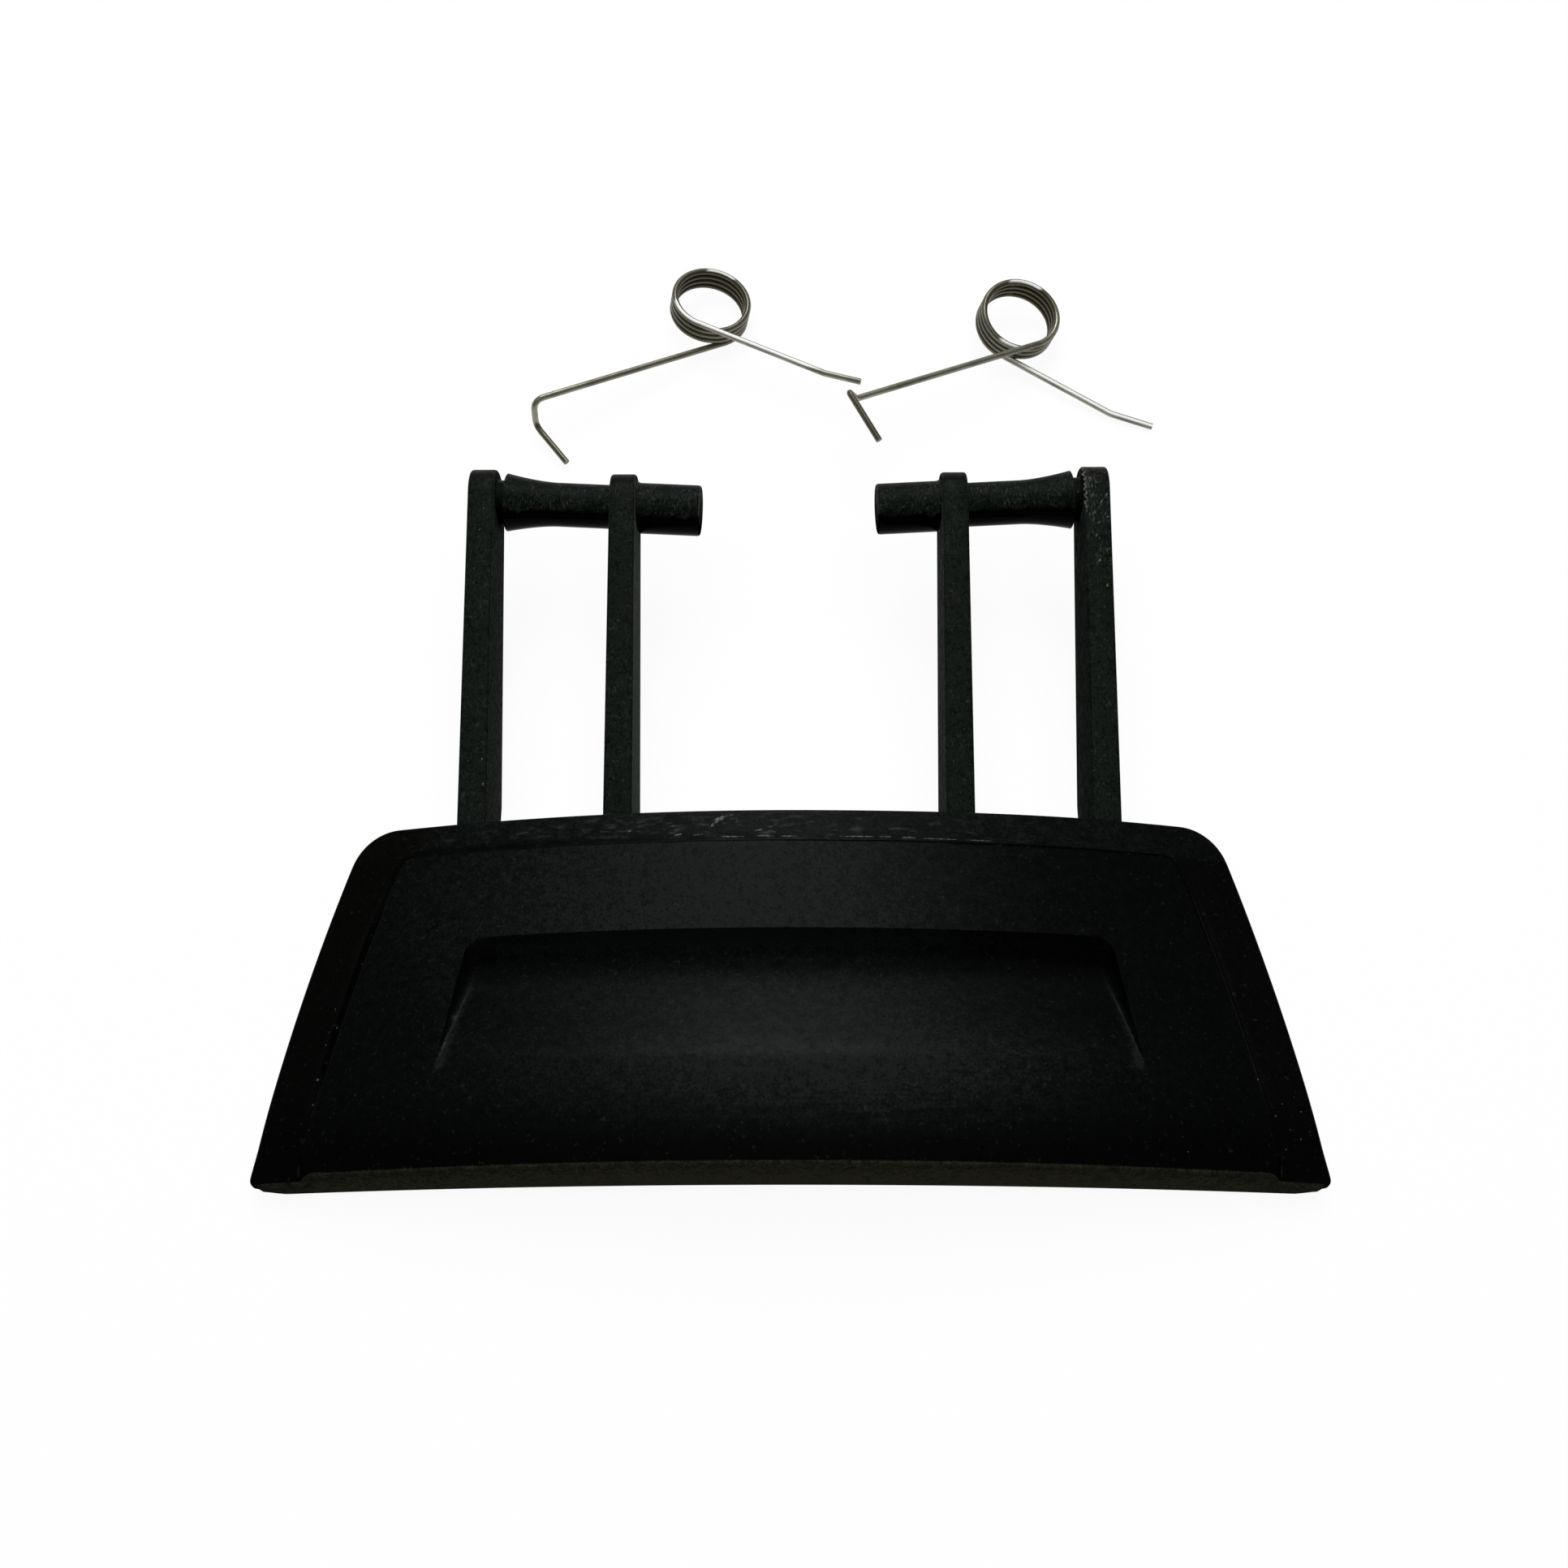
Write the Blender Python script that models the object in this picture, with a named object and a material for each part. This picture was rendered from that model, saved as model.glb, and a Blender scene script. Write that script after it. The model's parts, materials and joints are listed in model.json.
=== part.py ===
"""Console tray handle with its pair of return springs.

An arched, black moulded handle: a raised pad on a thin flange, a finger scoop,
a deep front lip, and four arms that carry two stepped hinge barrels. The two
steel torsion springs that turn the handle back lie loose behind the hinge end.

The model is built with the middle of the front lip at y = 0 and the hinge end
towards +Y. At the end everything is moved so that the origin is the middle of
the floor area that the set covers. Units are metres, +Z is up.
"""
import math

import bmesh
import bpy
from mathutils import Matrix, Vector

MM = 0.001

# Arched plate
ARCH_RADIUS = 212.7 * MM
STRIP_WIDTH = 5.5 * MM
FLANGE_DEPTH = 46.3 * MM
FLANGE_FRONT_HALF = 67.9 * MM
FLANGE_REAR_HALF = 57.7 * MM
FLANGE_SIDE_BULGE = 1.1 * MM
FLANGE_THICKNESS = 2.6 * MM
FLANGE_REAR_CORNER = 6.5 * MM
FLANGE_FRONT_CORNER = 1.4 * MM
FLANGE_CORNER_GAP = 1.3 * MM

# Raised pad on the flange
PAD_RISE = 0.8 * MM
PAD_FRONT_MARGIN = 6.6 * MM
PAD_REAR_MARGIN = 6.3 * MM
PAD_SIDE_BULGE = 0.9 * MM
PAD_REAR_RIM = 4.6 * MM
PAD_FRONT_GAP = 0.4 * MM
PAD_CORNER = 2.2 * MM
PAD_DRAFT = 0.25 * MM
PAD_WALL = 2.3 * MM
POCKET_MARGIN = 2.4 * MM

# Finger scoop in the pad
SCOOP_DEPTH = 4.5 * MM
SCOOP_REAR = 29.6 * MM
SCOOP_FADE = 13.6 * MM
SCOOP_REAR_HALF = 41.4 * MM
SCOOP_FRONT_HALF = 44.3 * MM
SCOOP_CORNER = 2.4 * MM
SCOOP_WALL_RUN = 2.4 * MM
SCOOP_SIDE_RUN = 0.9 * MM
SCOOP_FOOT = 3.2 * MM
SCOOP_STEPS = 6

# Walls that hang from the plate
LIP_THICKNESS = 2.0 * MM
LIP_OVERHANG = 0.8 * MM
LIP_SETBACK = 0.1 * MM
LIP_GAP_HEIGHT = 6.35 * MM
LIP_GAP_HALF = 64.3 * MM
REAR_WALL_THICKNESS = 1.8 * MM
REAR_WALL_DEPTH = 3.2 * MM
REAR_WALL_INSET = 0.25 * MM

# Arms
OUTER_ARM_X = 43.5 * MM
INNER_ARM_X = 23.5 * MM
ARM_SPLAY = 0.75 * MM
ARM_ROOT_WIDTH = 3.9 * MM
ARM_HEAD_WIDTH = 3.7 * MM
ARM_RISE_ANGLE = math.radians(13.0)
ARM_UNDER_ANGLE = math.radians(15.9)
ARM_STEP_DOWN = 0.45 * MM
ARM_HEAD_RADIUS = 4.5 * MM
ARM_RIB_FRONT = 7.0 * MM
ARM_RIB_HEEL = 5.0 * MM
ARM_HEAD_SEGMENTS = 14

# Hinge barrels, carried by each pair of arms
HINGE_Y = 94.0 * MM
HINGE_TOE_IN = math.radians(2.5)
BARREL_RADIUS = 3.05 * MM
FLARE_RADIUS = 3.85 * MM
FLARE_LENGTH = 7.2 * MM
NECK_LENGTH = 1.1 * MM
STUB_RADIUS = 3.6 * MM
STUB_LENGTH = 8.9 * MM
STUB_END_ROUND = 0.5 * MM
BARREL_SIDES = 28

# Return springs
WIRE_RADIUS = 0.5 * MM
COIL_RADIUS = 6.05 * MM
COIL_PITCH = 1.06 * MM
COIL_TURN_ANGLE = math.radians(1386.0)
HOOK_LEG_LENGTH = 34.3 * MM
HOOK_POST_LENGTH = 4.8 * MM
HOOK_POST_TWIST = math.radians(17.0)
HOOK_END_LENGTH = 8.3 * MM
HOOK_END_ANGLE = math.radians(100.5)
SHORT_LEG_LENGTH = 23.0 * MM
SHORT_END_LENGTH = 5.9 * MM
SHORT_KINK_ANGLE = math.radians(11.0)
WIRE_BEND_RADIUS = 1.9 * MM
WIRE_SIDES = 8
COIL_STEPS_PER_TURN = 24

# Where each loose spring lies: coil centre, turn about +Z, lean about X and Y
LEFT_SPRING_PLACE = (-12.5 * MM, 141.8 * MM, 5.5 * MM)
LEFT_SPRING_TURN = math.radians(118.5)
LEFT_SPRING_LEAN = (math.radians(-0.2), math.radians(10.8))
LEFT_SHORT_LEG_LIFT = math.radians(-7.6)
RIGHT_SPRING_PLACE = (36.9 * MM, 139.6 * MM, 1.9 * MM)
RIGHT_SPRING_TURN = math.radians(-66.7)
RIGHT_SPRING_LEAN = (math.radians(15.4), math.radians(12.9))
RIGHT_SHORT_LEG_LIFT = math.radians(17.5)

# Shared clearances for the solid operations
OVERLAP = 0.4 * MM
MERGE = 0.01 * MM
FLAT_ANGLE = math.radians(0.2)


def clear_scene():
    for old in list(bpy.data.objects):
        bpy.data.objects.remove(old, do_unlink=True)


def make_material(name, colour, roughness, metallic):
    material = bpy.data.materials.new(name)
    material.use_nodes = True
    shader = material.node_tree.nodes["Principled BSDF"]
    shader.inputs["Base Color"].default_value = (*colour, 1.0)
    shader.inputs["Roughness"].default_value = roughness
    shader.inputs["Metallic"].default_value = metallic
    return material


def object_from_bmesh(name, bm):
    bmesh.ops.recalc_face_normals(bm, faces=bm.faces)
    mesh = bpy.data.meshes.new(name)
    bm.to_mesh(mesh)
    bm.free()
    obj = bpy.data.objects.new(name, mesh)
    bpy.context.collection.objects.link(obj)
    return obj


def combine(target, tool, operation):
    """Apply one exact Boolean to the target and drop the tool."""
    modifier = target.modifiers.new(operation, "BOOLEAN")
    modifier.operation = operation
    modifier.solver = "EXACT"
    modifier.object = tool
    depsgraph = bpy.context.evaluated_depsgraph_get()
    result = bpy.data.meshes.new_from_object(target.evaluated_get(depsgraph))
    target.modifiers.clear()
    target.data = result
    bpy.data.objects.remove(tool, do_unlink=True)


def loft(name, loops):
    """Skin a list of closed loops that have equal numbers of points."""
    bm = bmesh.new()
    rings = [[bm.verts.new(point) for point in loop] for loop in loops]
    count = len(rings[0])
    for ring, following in zip(rings, rings[1:]):
        for i in range(count):
            j = (i + 1) % count
            bm.faces.new((ring[i], ring[j], following[j], following[i]))
    bm.faces.new(list(reversed(rings[0])))
    bm.faces.new(rings[-1])
    return object_from_bmesh(name, bm)


def rounded_outline(corners, radii, steps=5):
    """Points round a polygon whose corners carry tangent arcs."""
    points = []
    count = len(corners)
    for i, radius in enumerate(radii):
        corner = Vector(corners[i])
        before = (Vector(corners[i - 1]) - corner).normalized()
        after = (Vector(corners[(i + 1) % count]) - corner).normalized()
        half = before.angle(after) / 2.0
        reach = radius / math.tan(half)
        centre = corner + (before + after).normalized() * (radius / math.sin(half))
        start = corner + before * reach - centre
        turn = start.angle_signed(corner + after * reach - centre)
        for k in range(steps + 1):
            swing = Matrix.Rotation(-turn * k / steps, 2)
            points.append(centre + swing @ start)
    return points


def arch_drop(x):
    return x * x / (2.0 * ARCH_RADIUS)


def crown_height():
    """Top of the arch, so that the flange's front corners clear the floor."""
    return arch_drop(FLANGE_FRONT_HALF) + PAD_RISE + FLANGE_THICKNESS + FLANGE_CORNER_GAP


def bulged_half(t, front, rear, bulge):
    """Half width at t from front to rear: a nearly straight side that bulges slightly."""
    return front + (rear - front) * t + 4.0 * bulge * t * (1.0 - t)


def flange_half(y):
    return bulged_half(y / FLANGE_DEPTH, FLANGE_FRONT_HALF, FLANGE_REAR_HALF, FLANGE_SIDE_BULGE)


def pad_half(y):
    """The pad's half width, set in from the flange's by a margin at each end."""
    t = (y - PAD_FRONT_GAP) / (FLANGE_DEPTH - PAD_REAR_RIM - PAD_FRONT_GAP)
    front = FLANGE_FRONT_HALF - PAD_FRONT_MARGIN
    rear = FLANGE_REAR_HALF - PAD_REAR_MARGIN
    return bulged_half(t, front, rear, PAD_SIDE_BULGE)


def trapezoid(front_y, rear_y, half, grow=0.0):
    """Corners of a left-right symmetric outline, anticlockwise."""
    return [
        (-half(front_y) - grow, front_y - grow),
        (half(front_y) + grow, front_y - grow),
        (half(rear_y) + grow, rear_y + grow),
        (-half(rear_y) - grow, rear_y + grow),
    ]


def bulged_outline(front_y, rear_y, half, front_radius, rear_radius, grow=0.0):
    """A trapezoid with rounded corners whose sides are bent at their middles."""
    corners = trapezoid(front_y, rear_y, half, grow)
    middle = (front_y + rear_y) / 2.0
    wide = half(middle) + grow
    side = rear_y - front_y
    corners = corners[:2] + [(wide, middle)] + corners[2:] + [(-wide, middle)]
    return rounded_outline(corners, [front_radius, front_radius, side, rear_radius, rear_radius, side])


def at_height(outline, z):
    return [Vector((x, y, z)) for x, y in outline]


def make_flange():
    outline = bulged_outline(0.0, FLANGE_DEPTH, flange_half, FLANGE_FRONT_CORNER, FLANGE_REAR_CORNER)
    top = -PAD_RISE
    return loft("flange", [at_height(outline, top - FLANGE_THICKNESS), at_height(outline, top)])


def make_pad():
    """The raised pad, with draft on its low side walls."""
    rear = FLANGE_DEPTH - PAD_REAR_RIM
    foot = bulged_outline(PAD_FRONT_GAP, rear, pad_half, PAD_CORNER, PAD_CORNER)
    crest = bulged_outline(PAD_FRONT_GAP, rear, pad_half, PAD_CORNER, PAD_CORNER, -PAD_DRAFT)
    return loft(
        "pad",
        [at_height(foot, -PAD_RISE - OVERLAP), at_height(foot, -PAD_RISE), at_height(crest, 0.0)],
    )


def make_pocket():
    """The shallow pocket under the pad that keeps its wall thin."""
    rear = FLANGE_DEPTH - PAD_REAR_RIM
    outline = bulged_outline(PAD_FRONT_GAP, rear, pad_half, PAD_CORNER, PAD_CORNER, -POCKET_MARGIN)
    below = -PAD_RISE - FLANGE_THICKNESS - OVERLAP
    return loft("pocket", [at_height(outline, below), at_height(outline, -PAD_WALL)])


def scoop_floor(y):
    """Depth of the scoop's sloping floor below the pad at a given y."""
    foot = SCOOP_REAR - SCOOP_WALL_RUN - SCOOP_FOOT
    if y <= SCOOP_FADE or y >= SCOOP_REAR:
        return 0.0
    t = min((y - SCOOP_FADE) / (foot - SCOOP_FADE), 1.0)
    return SCOOP_DEPTH * t


def scoop_section(depth, grow):
    """Plan outline of the scoop at one depth, grown sideways by a wall."""
    t = depth / SCOOP_DEPTH
    foot = SCOOP_REAR - SCOOP_WALL_RUN - SCOOP_FOOT
    front = SCOOP_FADE + (foot - SCOOP_FADE) * t - grow
    ease = math.sin(max(t, 0.0) * math.pi / 2.0)
    rear = SCOOP_REAR - SCOOP_WALL_RUN * (0.65 * ease + 0.35 * t) + grow

    def half(y):
        along = (y - SCOOP_FADE) / (SCOOP_REAR - SCOOP_FADE)
        wide = SCOOP_FRONT_HALF + (SCOOP_REAR_HALF - SCOOP_FRONT_HALF) * along
        return wide - SCOOP_SIDE_RUN * t + grow

    corner = SCOOP_CORNER + grow
    small = 0.3 * MM
    return rounded_outline(trapezoid(front, rear, half), [small, small, corner, corner], steps=4)


def make_scoop(grow, sink):
    """The scoop as a stack of plan outlines, from above the pad to its floor."""
    loops = [at_height(scoop_section(0.0, grow), OVERLAP * 2.0 if grow == 0.0 else -PAD_RISE - OVERLAP)]
    for step in range(SCOOP_STEPS + 1):
        depth = SCOOP_DEPTH * step / SCOOP_STEPS
        if grow == 0.0 or depth + sink > PAD_RISE + 2.0 * OVERLAP:
            loops.append(at_height(scoop_section(depth, grow), -depth - sink))
    return loft("scoop", loops)


def cut_across(obj, point, direction):
    """Add edges where a plane crosses the object, without dividing it."""
    bm = bmesh.new()
    bm.from_mesh(obj.data)
    everything = bm.verts[:] + bm.edges[:] + bm.faces[:]
    bmesh.ops.bisect_plane(bm, geom=everything, plane_co=point, plane_no=direction, dist=MERGE)
    bm.to_mesh(obj.data)
    bm.free()


def join_flat_faces(obj):
    bm = bmesh.new()
    bm.from_mesh(obj.data)
    bmesh.ops.remove_doubles(bm, verts=bm.verts, dist=MERGE)
    bmesh.ops.dissolve_limit(bm, angle_limit=FLAT_ANGLE, verts=bm.verts, edges=bm.edges)
    bm.to_mesh(obj.data)
    bm.free()


def split_into_strips(obj):
    """Cut the flat plate across its width so that it can follow the arch."""
    join_flat_faces(obj)
    count = int(FLANGE_FRONT_HALF / STRIP_WIDTH)
    for i in range(-count, count + 1):
        cut_across(obj, (i * STRIP_WIDTH, 0.0, 0.0), (1.0, 0.0, 0.0))


def arch(obj):
    """Lower every point of the flat plate by the arch and lift it to its height."""
    for vertex in obj.data.vertices:
        vertex.co.z += crown_height() - arch_drop(vertex.co.x)
    split_into_triangles(obj)


def split_into_triangles(obj):
    """Make every face flat, so that the next solid operation is exact."""
    bm = bmesh.new()
    bm.from_mesh(obj.data)
    bmesh.ops.remove_doubles(bm, verts=bm.verts, dist=MERGE)
    bmesh.ops.dissolve_degenerate(bm, edges=bm.edges, dist=MERGE)
    bmesh.ops.triangulate(bm, faces=bm.faces)
    bm.to_mesh(obj.data)
    bm.free()


def make_plate():
    plate = make_flange()
    combine(plate, make_pad(), "UNION")
    combine(plate, make_pocket(), "DIFFERENCE")
    combine(plate, make_scoop(PAD_WALL * 0.8, PAD_WALL), "UNION")
    combine(plate, make_scoop(0.0, 0.0), "DIFFERENCE")
    split_into_strips(plate)
    arch(plate)
    return plate


def lip_gap(x):
    """Height of the lip's lower edge, which arches up clear of the table."""
    return max(LIP_GAP_HEIGHT * (1.0 - (x / LIP_GAP_HALF) ** 2), 0.0)


def make_lip():
    """The front lip, leaning out to its arched lower edge from just behind the plate's front face."""
    half = flange_half(0.0) - FLANGE_FRONT_CORNER * 0.5
    count = 2 * int(half / STRIP_WIDTH)
    loops = []
    for i in range(count + 1):
        x = -half + 2.0 * half * i / count
        top = crown_height() - arch_drop(x) - PAD_RISE - OVERLAP
        foot = min(lip_gap(x), top - OVERLAP)
        loops.append(
            [
                Vector((x, LIP_SETBACK, top)),
                Vector((x, -LIP_OVERHANG, foot)),
                Vector((x, LIP_THICKNESS - LIP_OVERHANG, foot)),
                Vector((x, LIP_THICKNESS, top)),
            ]
        )
    return loft("lip", loops)


def make_rear_wall():
    """The low stiffening wall under the rear rim, between the outer arms."""
    rear = FLANGE_DEPTH - REAR_WALL_INSET
    half = OUTER_ARM_X - ARM_SPLAY
    count = 2 * int(half / STRIP_WIDTH)
    loops = []
    for i in range(count + 1):
        x = -half + 2.0 * half * i / count
        top = crown_height() - arch_drop(x) - PAD_RISE - FLANGE_THICKNESS * 0.5
        foot = top - FLANGE_THICKNESS * 0.5 - REAR_WALL_DEPTH
        loops.append(
            [
                Vector((x, rear, top)),
                Vector((x, rear, foot)),
                Vector((x, rear - REAR_WALL_THICKNESS, foot)),
                Vector((x, rear - REAR_WALL_THICKNESS, top)),
            ]
        )
    return loft("rear_wall", loops)


def arm_root_height():
    """Top of every arm where it leaves the flange, just below the rim at the outer arms."""
    return crown_height() - arch_drop(OUTER_ARM_X - ARM_SPLAY) - PAD_RISE - ARM_STEP_DOWN


def hinge_height():
    """Height of the hinge axis, set by the arms' straight top faces."""
    run = HINGE_Y - FLANGE_DEPTH
    top = arm_root_height() + run * math.tan(ARM_RISE_ANGLE)
    return top - ARM_HEAD_RADIUS / math.cos(ARM_RISE_ANGLE)


def hinge_y(x):
    """The toed-in hinge axis comes forward towards the middle of the handle."""
    return HINGE_Y - (OUTER_ARM_X - abs(x)) * math.tan(HINGE_TOE_IN)


def arm_splay(x):
    """How far an arm's head stands further out than its root."""
    return ARM_SPLAY * abs(x) / OUTER_ARM_X


def rib_top(x, y):
    """Top of an arm's rib, sunk into the wall above it."""
    return crown_height() - arch_drop(x) - scoop_floor(y) - PAD_WALL * 0.6


def arm_profile(x):
    """Side view of one arm: rib under the plate, rising beam, round head."""
    centre_y = hinge_y(x)
    centre_z = hinge_height()
    root = abs(x) - arm_splay(x)
    rib_rear = FLANGE_DEPTH - REAR_WALL_INSET - REAR_WALL_THICKNESS / 2.0
    foot = SCOOP_REAR - SCOOP_WALL_RUN - SCOOP_FOOT
    outline = [(ARM_RIB_FRONT + ARM_RIB_HEEL, 0.0), (ARM_RIB_FRONT, ARM_RIB_HEEL)]
    outline += [(y, rib_top(root, y)) for y in (ARM_RIB_FRONT, SCOOP_FADE, foot)]
    outline.append((SCOOP_REAR - SCOOP_WALL_RUN / 2.0, rib_top(root, foot)))
    outline.append((SCOOP_REAR, rib_top(root, SCOOP_REAR)))
    outline.append((rib_rear, rib_top(root, rib_rear) - PAD_RISE))
    outline.append((rib_rear, arm_root_height() - (FLANGE_DEPTH - rib_rear) * math.tan(ARM_RISE_ANGLE)))
    sweep = math.pi + ARM_RISE_ANGLE - ARM_UNDER_ANGLE
    for step in range(ARM_HEAD_SEGMENTS + 1):
        angle = math.pi / 2.0 + ARM_RISE_ANGLE - sweep * step / ARM_HEAD_SEGMENTS
        outline.append(
            (centre_y + ARM_HEAD_RADIUS * math.cos(angle), centre_z + ARM_HEAD_RADIUS * math.sin(angle))
        )
    below_y, below_z = outline[-1]
    outline.append((below_y - below_z / math.tan(ARM_UNDER_ANGLE), 0.0))
    return outline


def make_arm(x):
    """One arm from its side view, splayed outwards and thinned towards its head."""
    profile = arm_profile(x)
    arm = loft("arm", [[Vector((face, y, z)) for y, z in profile] for face in (-0.5, 0.5)])
    cut_across(arm, (0.0, FLANGE_DEPTH, 0.0), (0.0, 1.0, 0.0))
    for vertex in arm.data.vertices:
        t = max(vertex.co.y - FLANGE_DEPTH, 0.0) / (HINGE_Y - FLANGE_DEPTH)
        width = ARM_ROOT_WIDTH + (ARM_HEAD_WIDTH - ARM_ROOT_WIDTH) * t
        vertex.co.x = x - math.copysign(arm_splay(x), x) * (1.0 - t) + vertex.co.x * width
    split_into_triangles(arm)
    return arm


def barrel_profile():
    """Radius along the barrel, from the outer arm inwards to the stub's end."""
    into_arm = ARM_HEAD_WIDTH / 2.0
    span = (OUTER_ARM_X - INNER_ARM_X) / math.cos(HINGE_TOE_IN)
    flare_at = into_arm + NECK_LENGTH
    stub_at = span + into_arm
    stub_end = stub_at + STUB_LENGTH
    stations = [(0.0, BARREL_RADIUS), (flare_at, BARREL_RADIUS), (flare_at, FLARE_RADIUS)]
    for step in range(1, 6):
        t = step / 5.0
        shrink = (1.0 - t) ** 1.6
        stations.append((flare_at + FLARE_LENGTH * t, BARREL_RADIUS + (FLARE_RADIUS - BARREL_RADIUS) * shrink))
    stations += [(span, BARREL_RADIUS), (span, STUB_RADIUS), (stub_end - STUB_END_ROUND, STUB_RADIUS)]
    for step in range(1, 4):
        angle = math.pi / 2.0 * step / 3.0
        stations.append(
            (
                stub_end - STUB_END_ROUND * (1.0 - math.sin(angle)),
                STUB_RADIUS - STUB_END_ROUND * (1.0 - math.cos(angle)),
            )
        )
    return stations


def make_barrel(side):
    """One stepped hinge barrel, turned about its own slightly toed-in axis."""
    direction = Vector((-side * math.cos(HINGE_TOE_IN), -math.sin(HINGE_TOE_IN), 0.0))
    across = Vector((0.0, 0.0, 1.0)).cross(direction)
    start = Vector((side * OUTER_ARM_X, HINGE_Y, hinge_height()))
    loops = []
    for along, radius in barrel_profile():
        loop = []
        for k in range(BARREL_SIDES):
            angle = 2.0 * math.pi * k / BARREL_SIDES
            offset = across * math.cos(angle) + Vector((0.0, 0.0, 1.0)) * math.sin(angle)
            loop.append(start + direction * along + offset * radius)
        loops.append(loop)
    return loft("barrel", loops)


def make_handle(material):
    """The whole one-piece moulding."""
    handle = make_plate()
    handle.name = "handle"
    handle.data.name = "handle"
    combine(handle, make_lip(), "UNION")
    combine(handle, make_rear_wall(), "UNION")
    for side in (-1.0, 1.0):
        for x in (OUTER_ARM_X, INNER_ARM_X):
            combine(handle, make_arm(side * x), "UNION")
        combine(handle, make_barrel(side), "UNION")
    split_into_triangles(handle)
    handle.data.materials.clear()
    handle.data.materials.append(material)
    handle.data.shade_smooth()
    handle.data.set_sharp_from_angle(angle=math.radians(30.0))
    return handle


def bend_corners(corners, radius, steps=5):
    """Round the inner corners of a bent wire's centre line."""
    path = [corners[0]]
    for before, corner, after in zip(corners, corners[1:], corners[2:]):
        back = (before - corner).normalized()
        ahead = (after - corner).normalized()
        half = back.angle(ahead) / 2.0
        reach = min(radius / math.tan(half), 0.45 * (before - corner).length, 0.45 * (after - corner).length)
        for k in range(steps + 1):
            t = k / steps
            path.append(corner + back * reach * (1.0 - t) ** 2 + ahead * reach * t ** 2)
    path.append(corners[-1])
    return path


def spring_centre_line(short_leg_lift):
    """Centre line in the spring's own frame: coil about +Z, hook leg on top."""
    height = COIL_PITCH * COIL_TURN_ANGLE / (2.0 * math.pi)
    up = Vector((0.0, 0.0, 1.0))
    steps = int(COIL_STEPS_PER_TURN * COIL_TURN_ANGLE / (2.0 * math.pi))
    coil = []
    for i in range(steps + 1):
        t = i / steps
        angle = COIL_TURN_ANGLE * t
        coil.append(
            Vector((COIL_RADIUS * math.cos(angle), COIL_RADIUS * math.sin(angle), height * (1.0 - t)))
        )

    leg = Vector((0.0, -1.0, 0.0))
    post = up * math.cos(HOOK_POST_TWIST) + up.cross(leg) * math.sin(HOOK_POST_TWIST)
    hook = Matrix.Rotation(HOOK_END_ANGLE, 3, "Z") @ leg
    corner = coil[0] + leg * HOOK_LEG_LENGTH
    tip = corner + post * HOOK_POST_LENGTH
    hook_side = bend_corners([tip + hook * HOOK_END_LENGTH, tip, corner, coil[0]], WIRE_BEND_RADIUS)

    tangent = Vector((-math.sin(COIL_TURN_ANGLE), math.cos(COIL_TURN_ANGLE), 0.0))
    lifted = tangent * math.cos(short_leg_lift) + up * math.sin(short_leg_lift)
    kink = coil[-1] + lifted * SHORT_LEG_LENGTH
    end = kink + (Matrix.Rotation(SHORT_KINK_ANGLE, 3, "Z") @ lifted) * SHORT_END_LENGTH
    short_side = bend_corners([coil[-1], kink, end], WIRE_BEND_RADIUS)
    return hook_side[:-1] + coil + short_side[1:]


def sweep_wire(name, path, radius, sides):
    """A round wire along a path, its section carried along without twist."""
    tangents = []
    for i in range(len(path)):
        before = path[max(i - 1, 0)]
        after = path[min(i + 1, len(path) - 1)]
        tangents.append((after - before).normalized())
    normal = tangents[0].orthogonal().normalized()
    loops = []
    for i, point in enumerate(path):
        if i > 0:
            turn = tangents[i - 1].rotation_difference(tangents[i])
            normal = turn @ normal
        across = tangents[i].cross(normal)
        loop = []
        for k in range(sides):
            angle = 2.0 * math.pi * (k + 0.5) / sides
            loop.append(point + (normal * math.cos(angle) + across * math.sin(angle)) * radius)
        loops.append(loop)
    return loft(name, loops)


def make_spring(name, hand, place, turn, lean, short_leg_lift, flipped, material):
    """One return spring; the two are mirror images, laid down in their own ways."""
    line = spring_centre_line(short_leg_lift)
    mirror = Matrix.Diagonal((hand, 1.0, 1.0))
    flip = Matrix.Rotation(math.pi, 3, "X") if flipped else Matrix.Identity(3)
    tilt = Matrix.Rotation(lean[1], 3, "Y") @ Matrix.Rotation(lean[0], 3, "X")
    pose = tilt @ Matrix.Rotation(turn, 3, "Z") @ flip @ mirror
    path = [pose @ point + Vector(place) for point in line]
    spring = sweep_wire(name, path, WIRE_RADIUS, WIRE_SIDES)
    spring.data.materials.append(material)
    spring.data.shade_smooth()
    spring.data.set_sharp_from_angle(angle=math.radians(50.0))
    return spring


def centre_on_floor(objects):
    """Move the set so that its floor area is centred on the origin."""
    points = [obj.matrix_world @ vertex.co for obj in objects for vertex in obj.data.vertices]
    low = [min(point[axis] for point in points) for axis in range(3)]
    high = [max(point[axis] for point in points) for axis in range(3)]
    shift = Vector((-(low[0] + high[0]) / 2.0, -(low[1] + high[1]) / 2.0, -low[2]))
    for obj in objects:
        obj.data.transform(Matrix.Translation(shift))


def main():
    clear_scene()
    plastic = make_material("black_plastic", (0.006, 0.007, 0.006), 0.5, 0.0)
    steel = make_material("spring_steel", (0.23, 0.22, 0.18), 0.35, 1.0)
    handle = make_handle(plastic)
    left = make_spring(
        "left_spring", -1.0, LEFT_SPRING_PLACE, LEFT_SPRING_TURN, LEFT_SPRING_LEAN, LEFT_SHORT_LEG_LIFT, True, steel
    )
    right = make_spring(
        "right_spring", 1.0, RIGHT_SPRING_PLACE, RIGHT_SPRING_TURN, RIGHT_SPRING_LEAN, RIGHT_SHORT_LEG_LIFT, False, steel
    )
    centre_on_floor([handle, left, right])


main()
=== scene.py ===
import json
import math

import bpy
import numpy as np
from mathutils import Matrix, Vector

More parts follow.
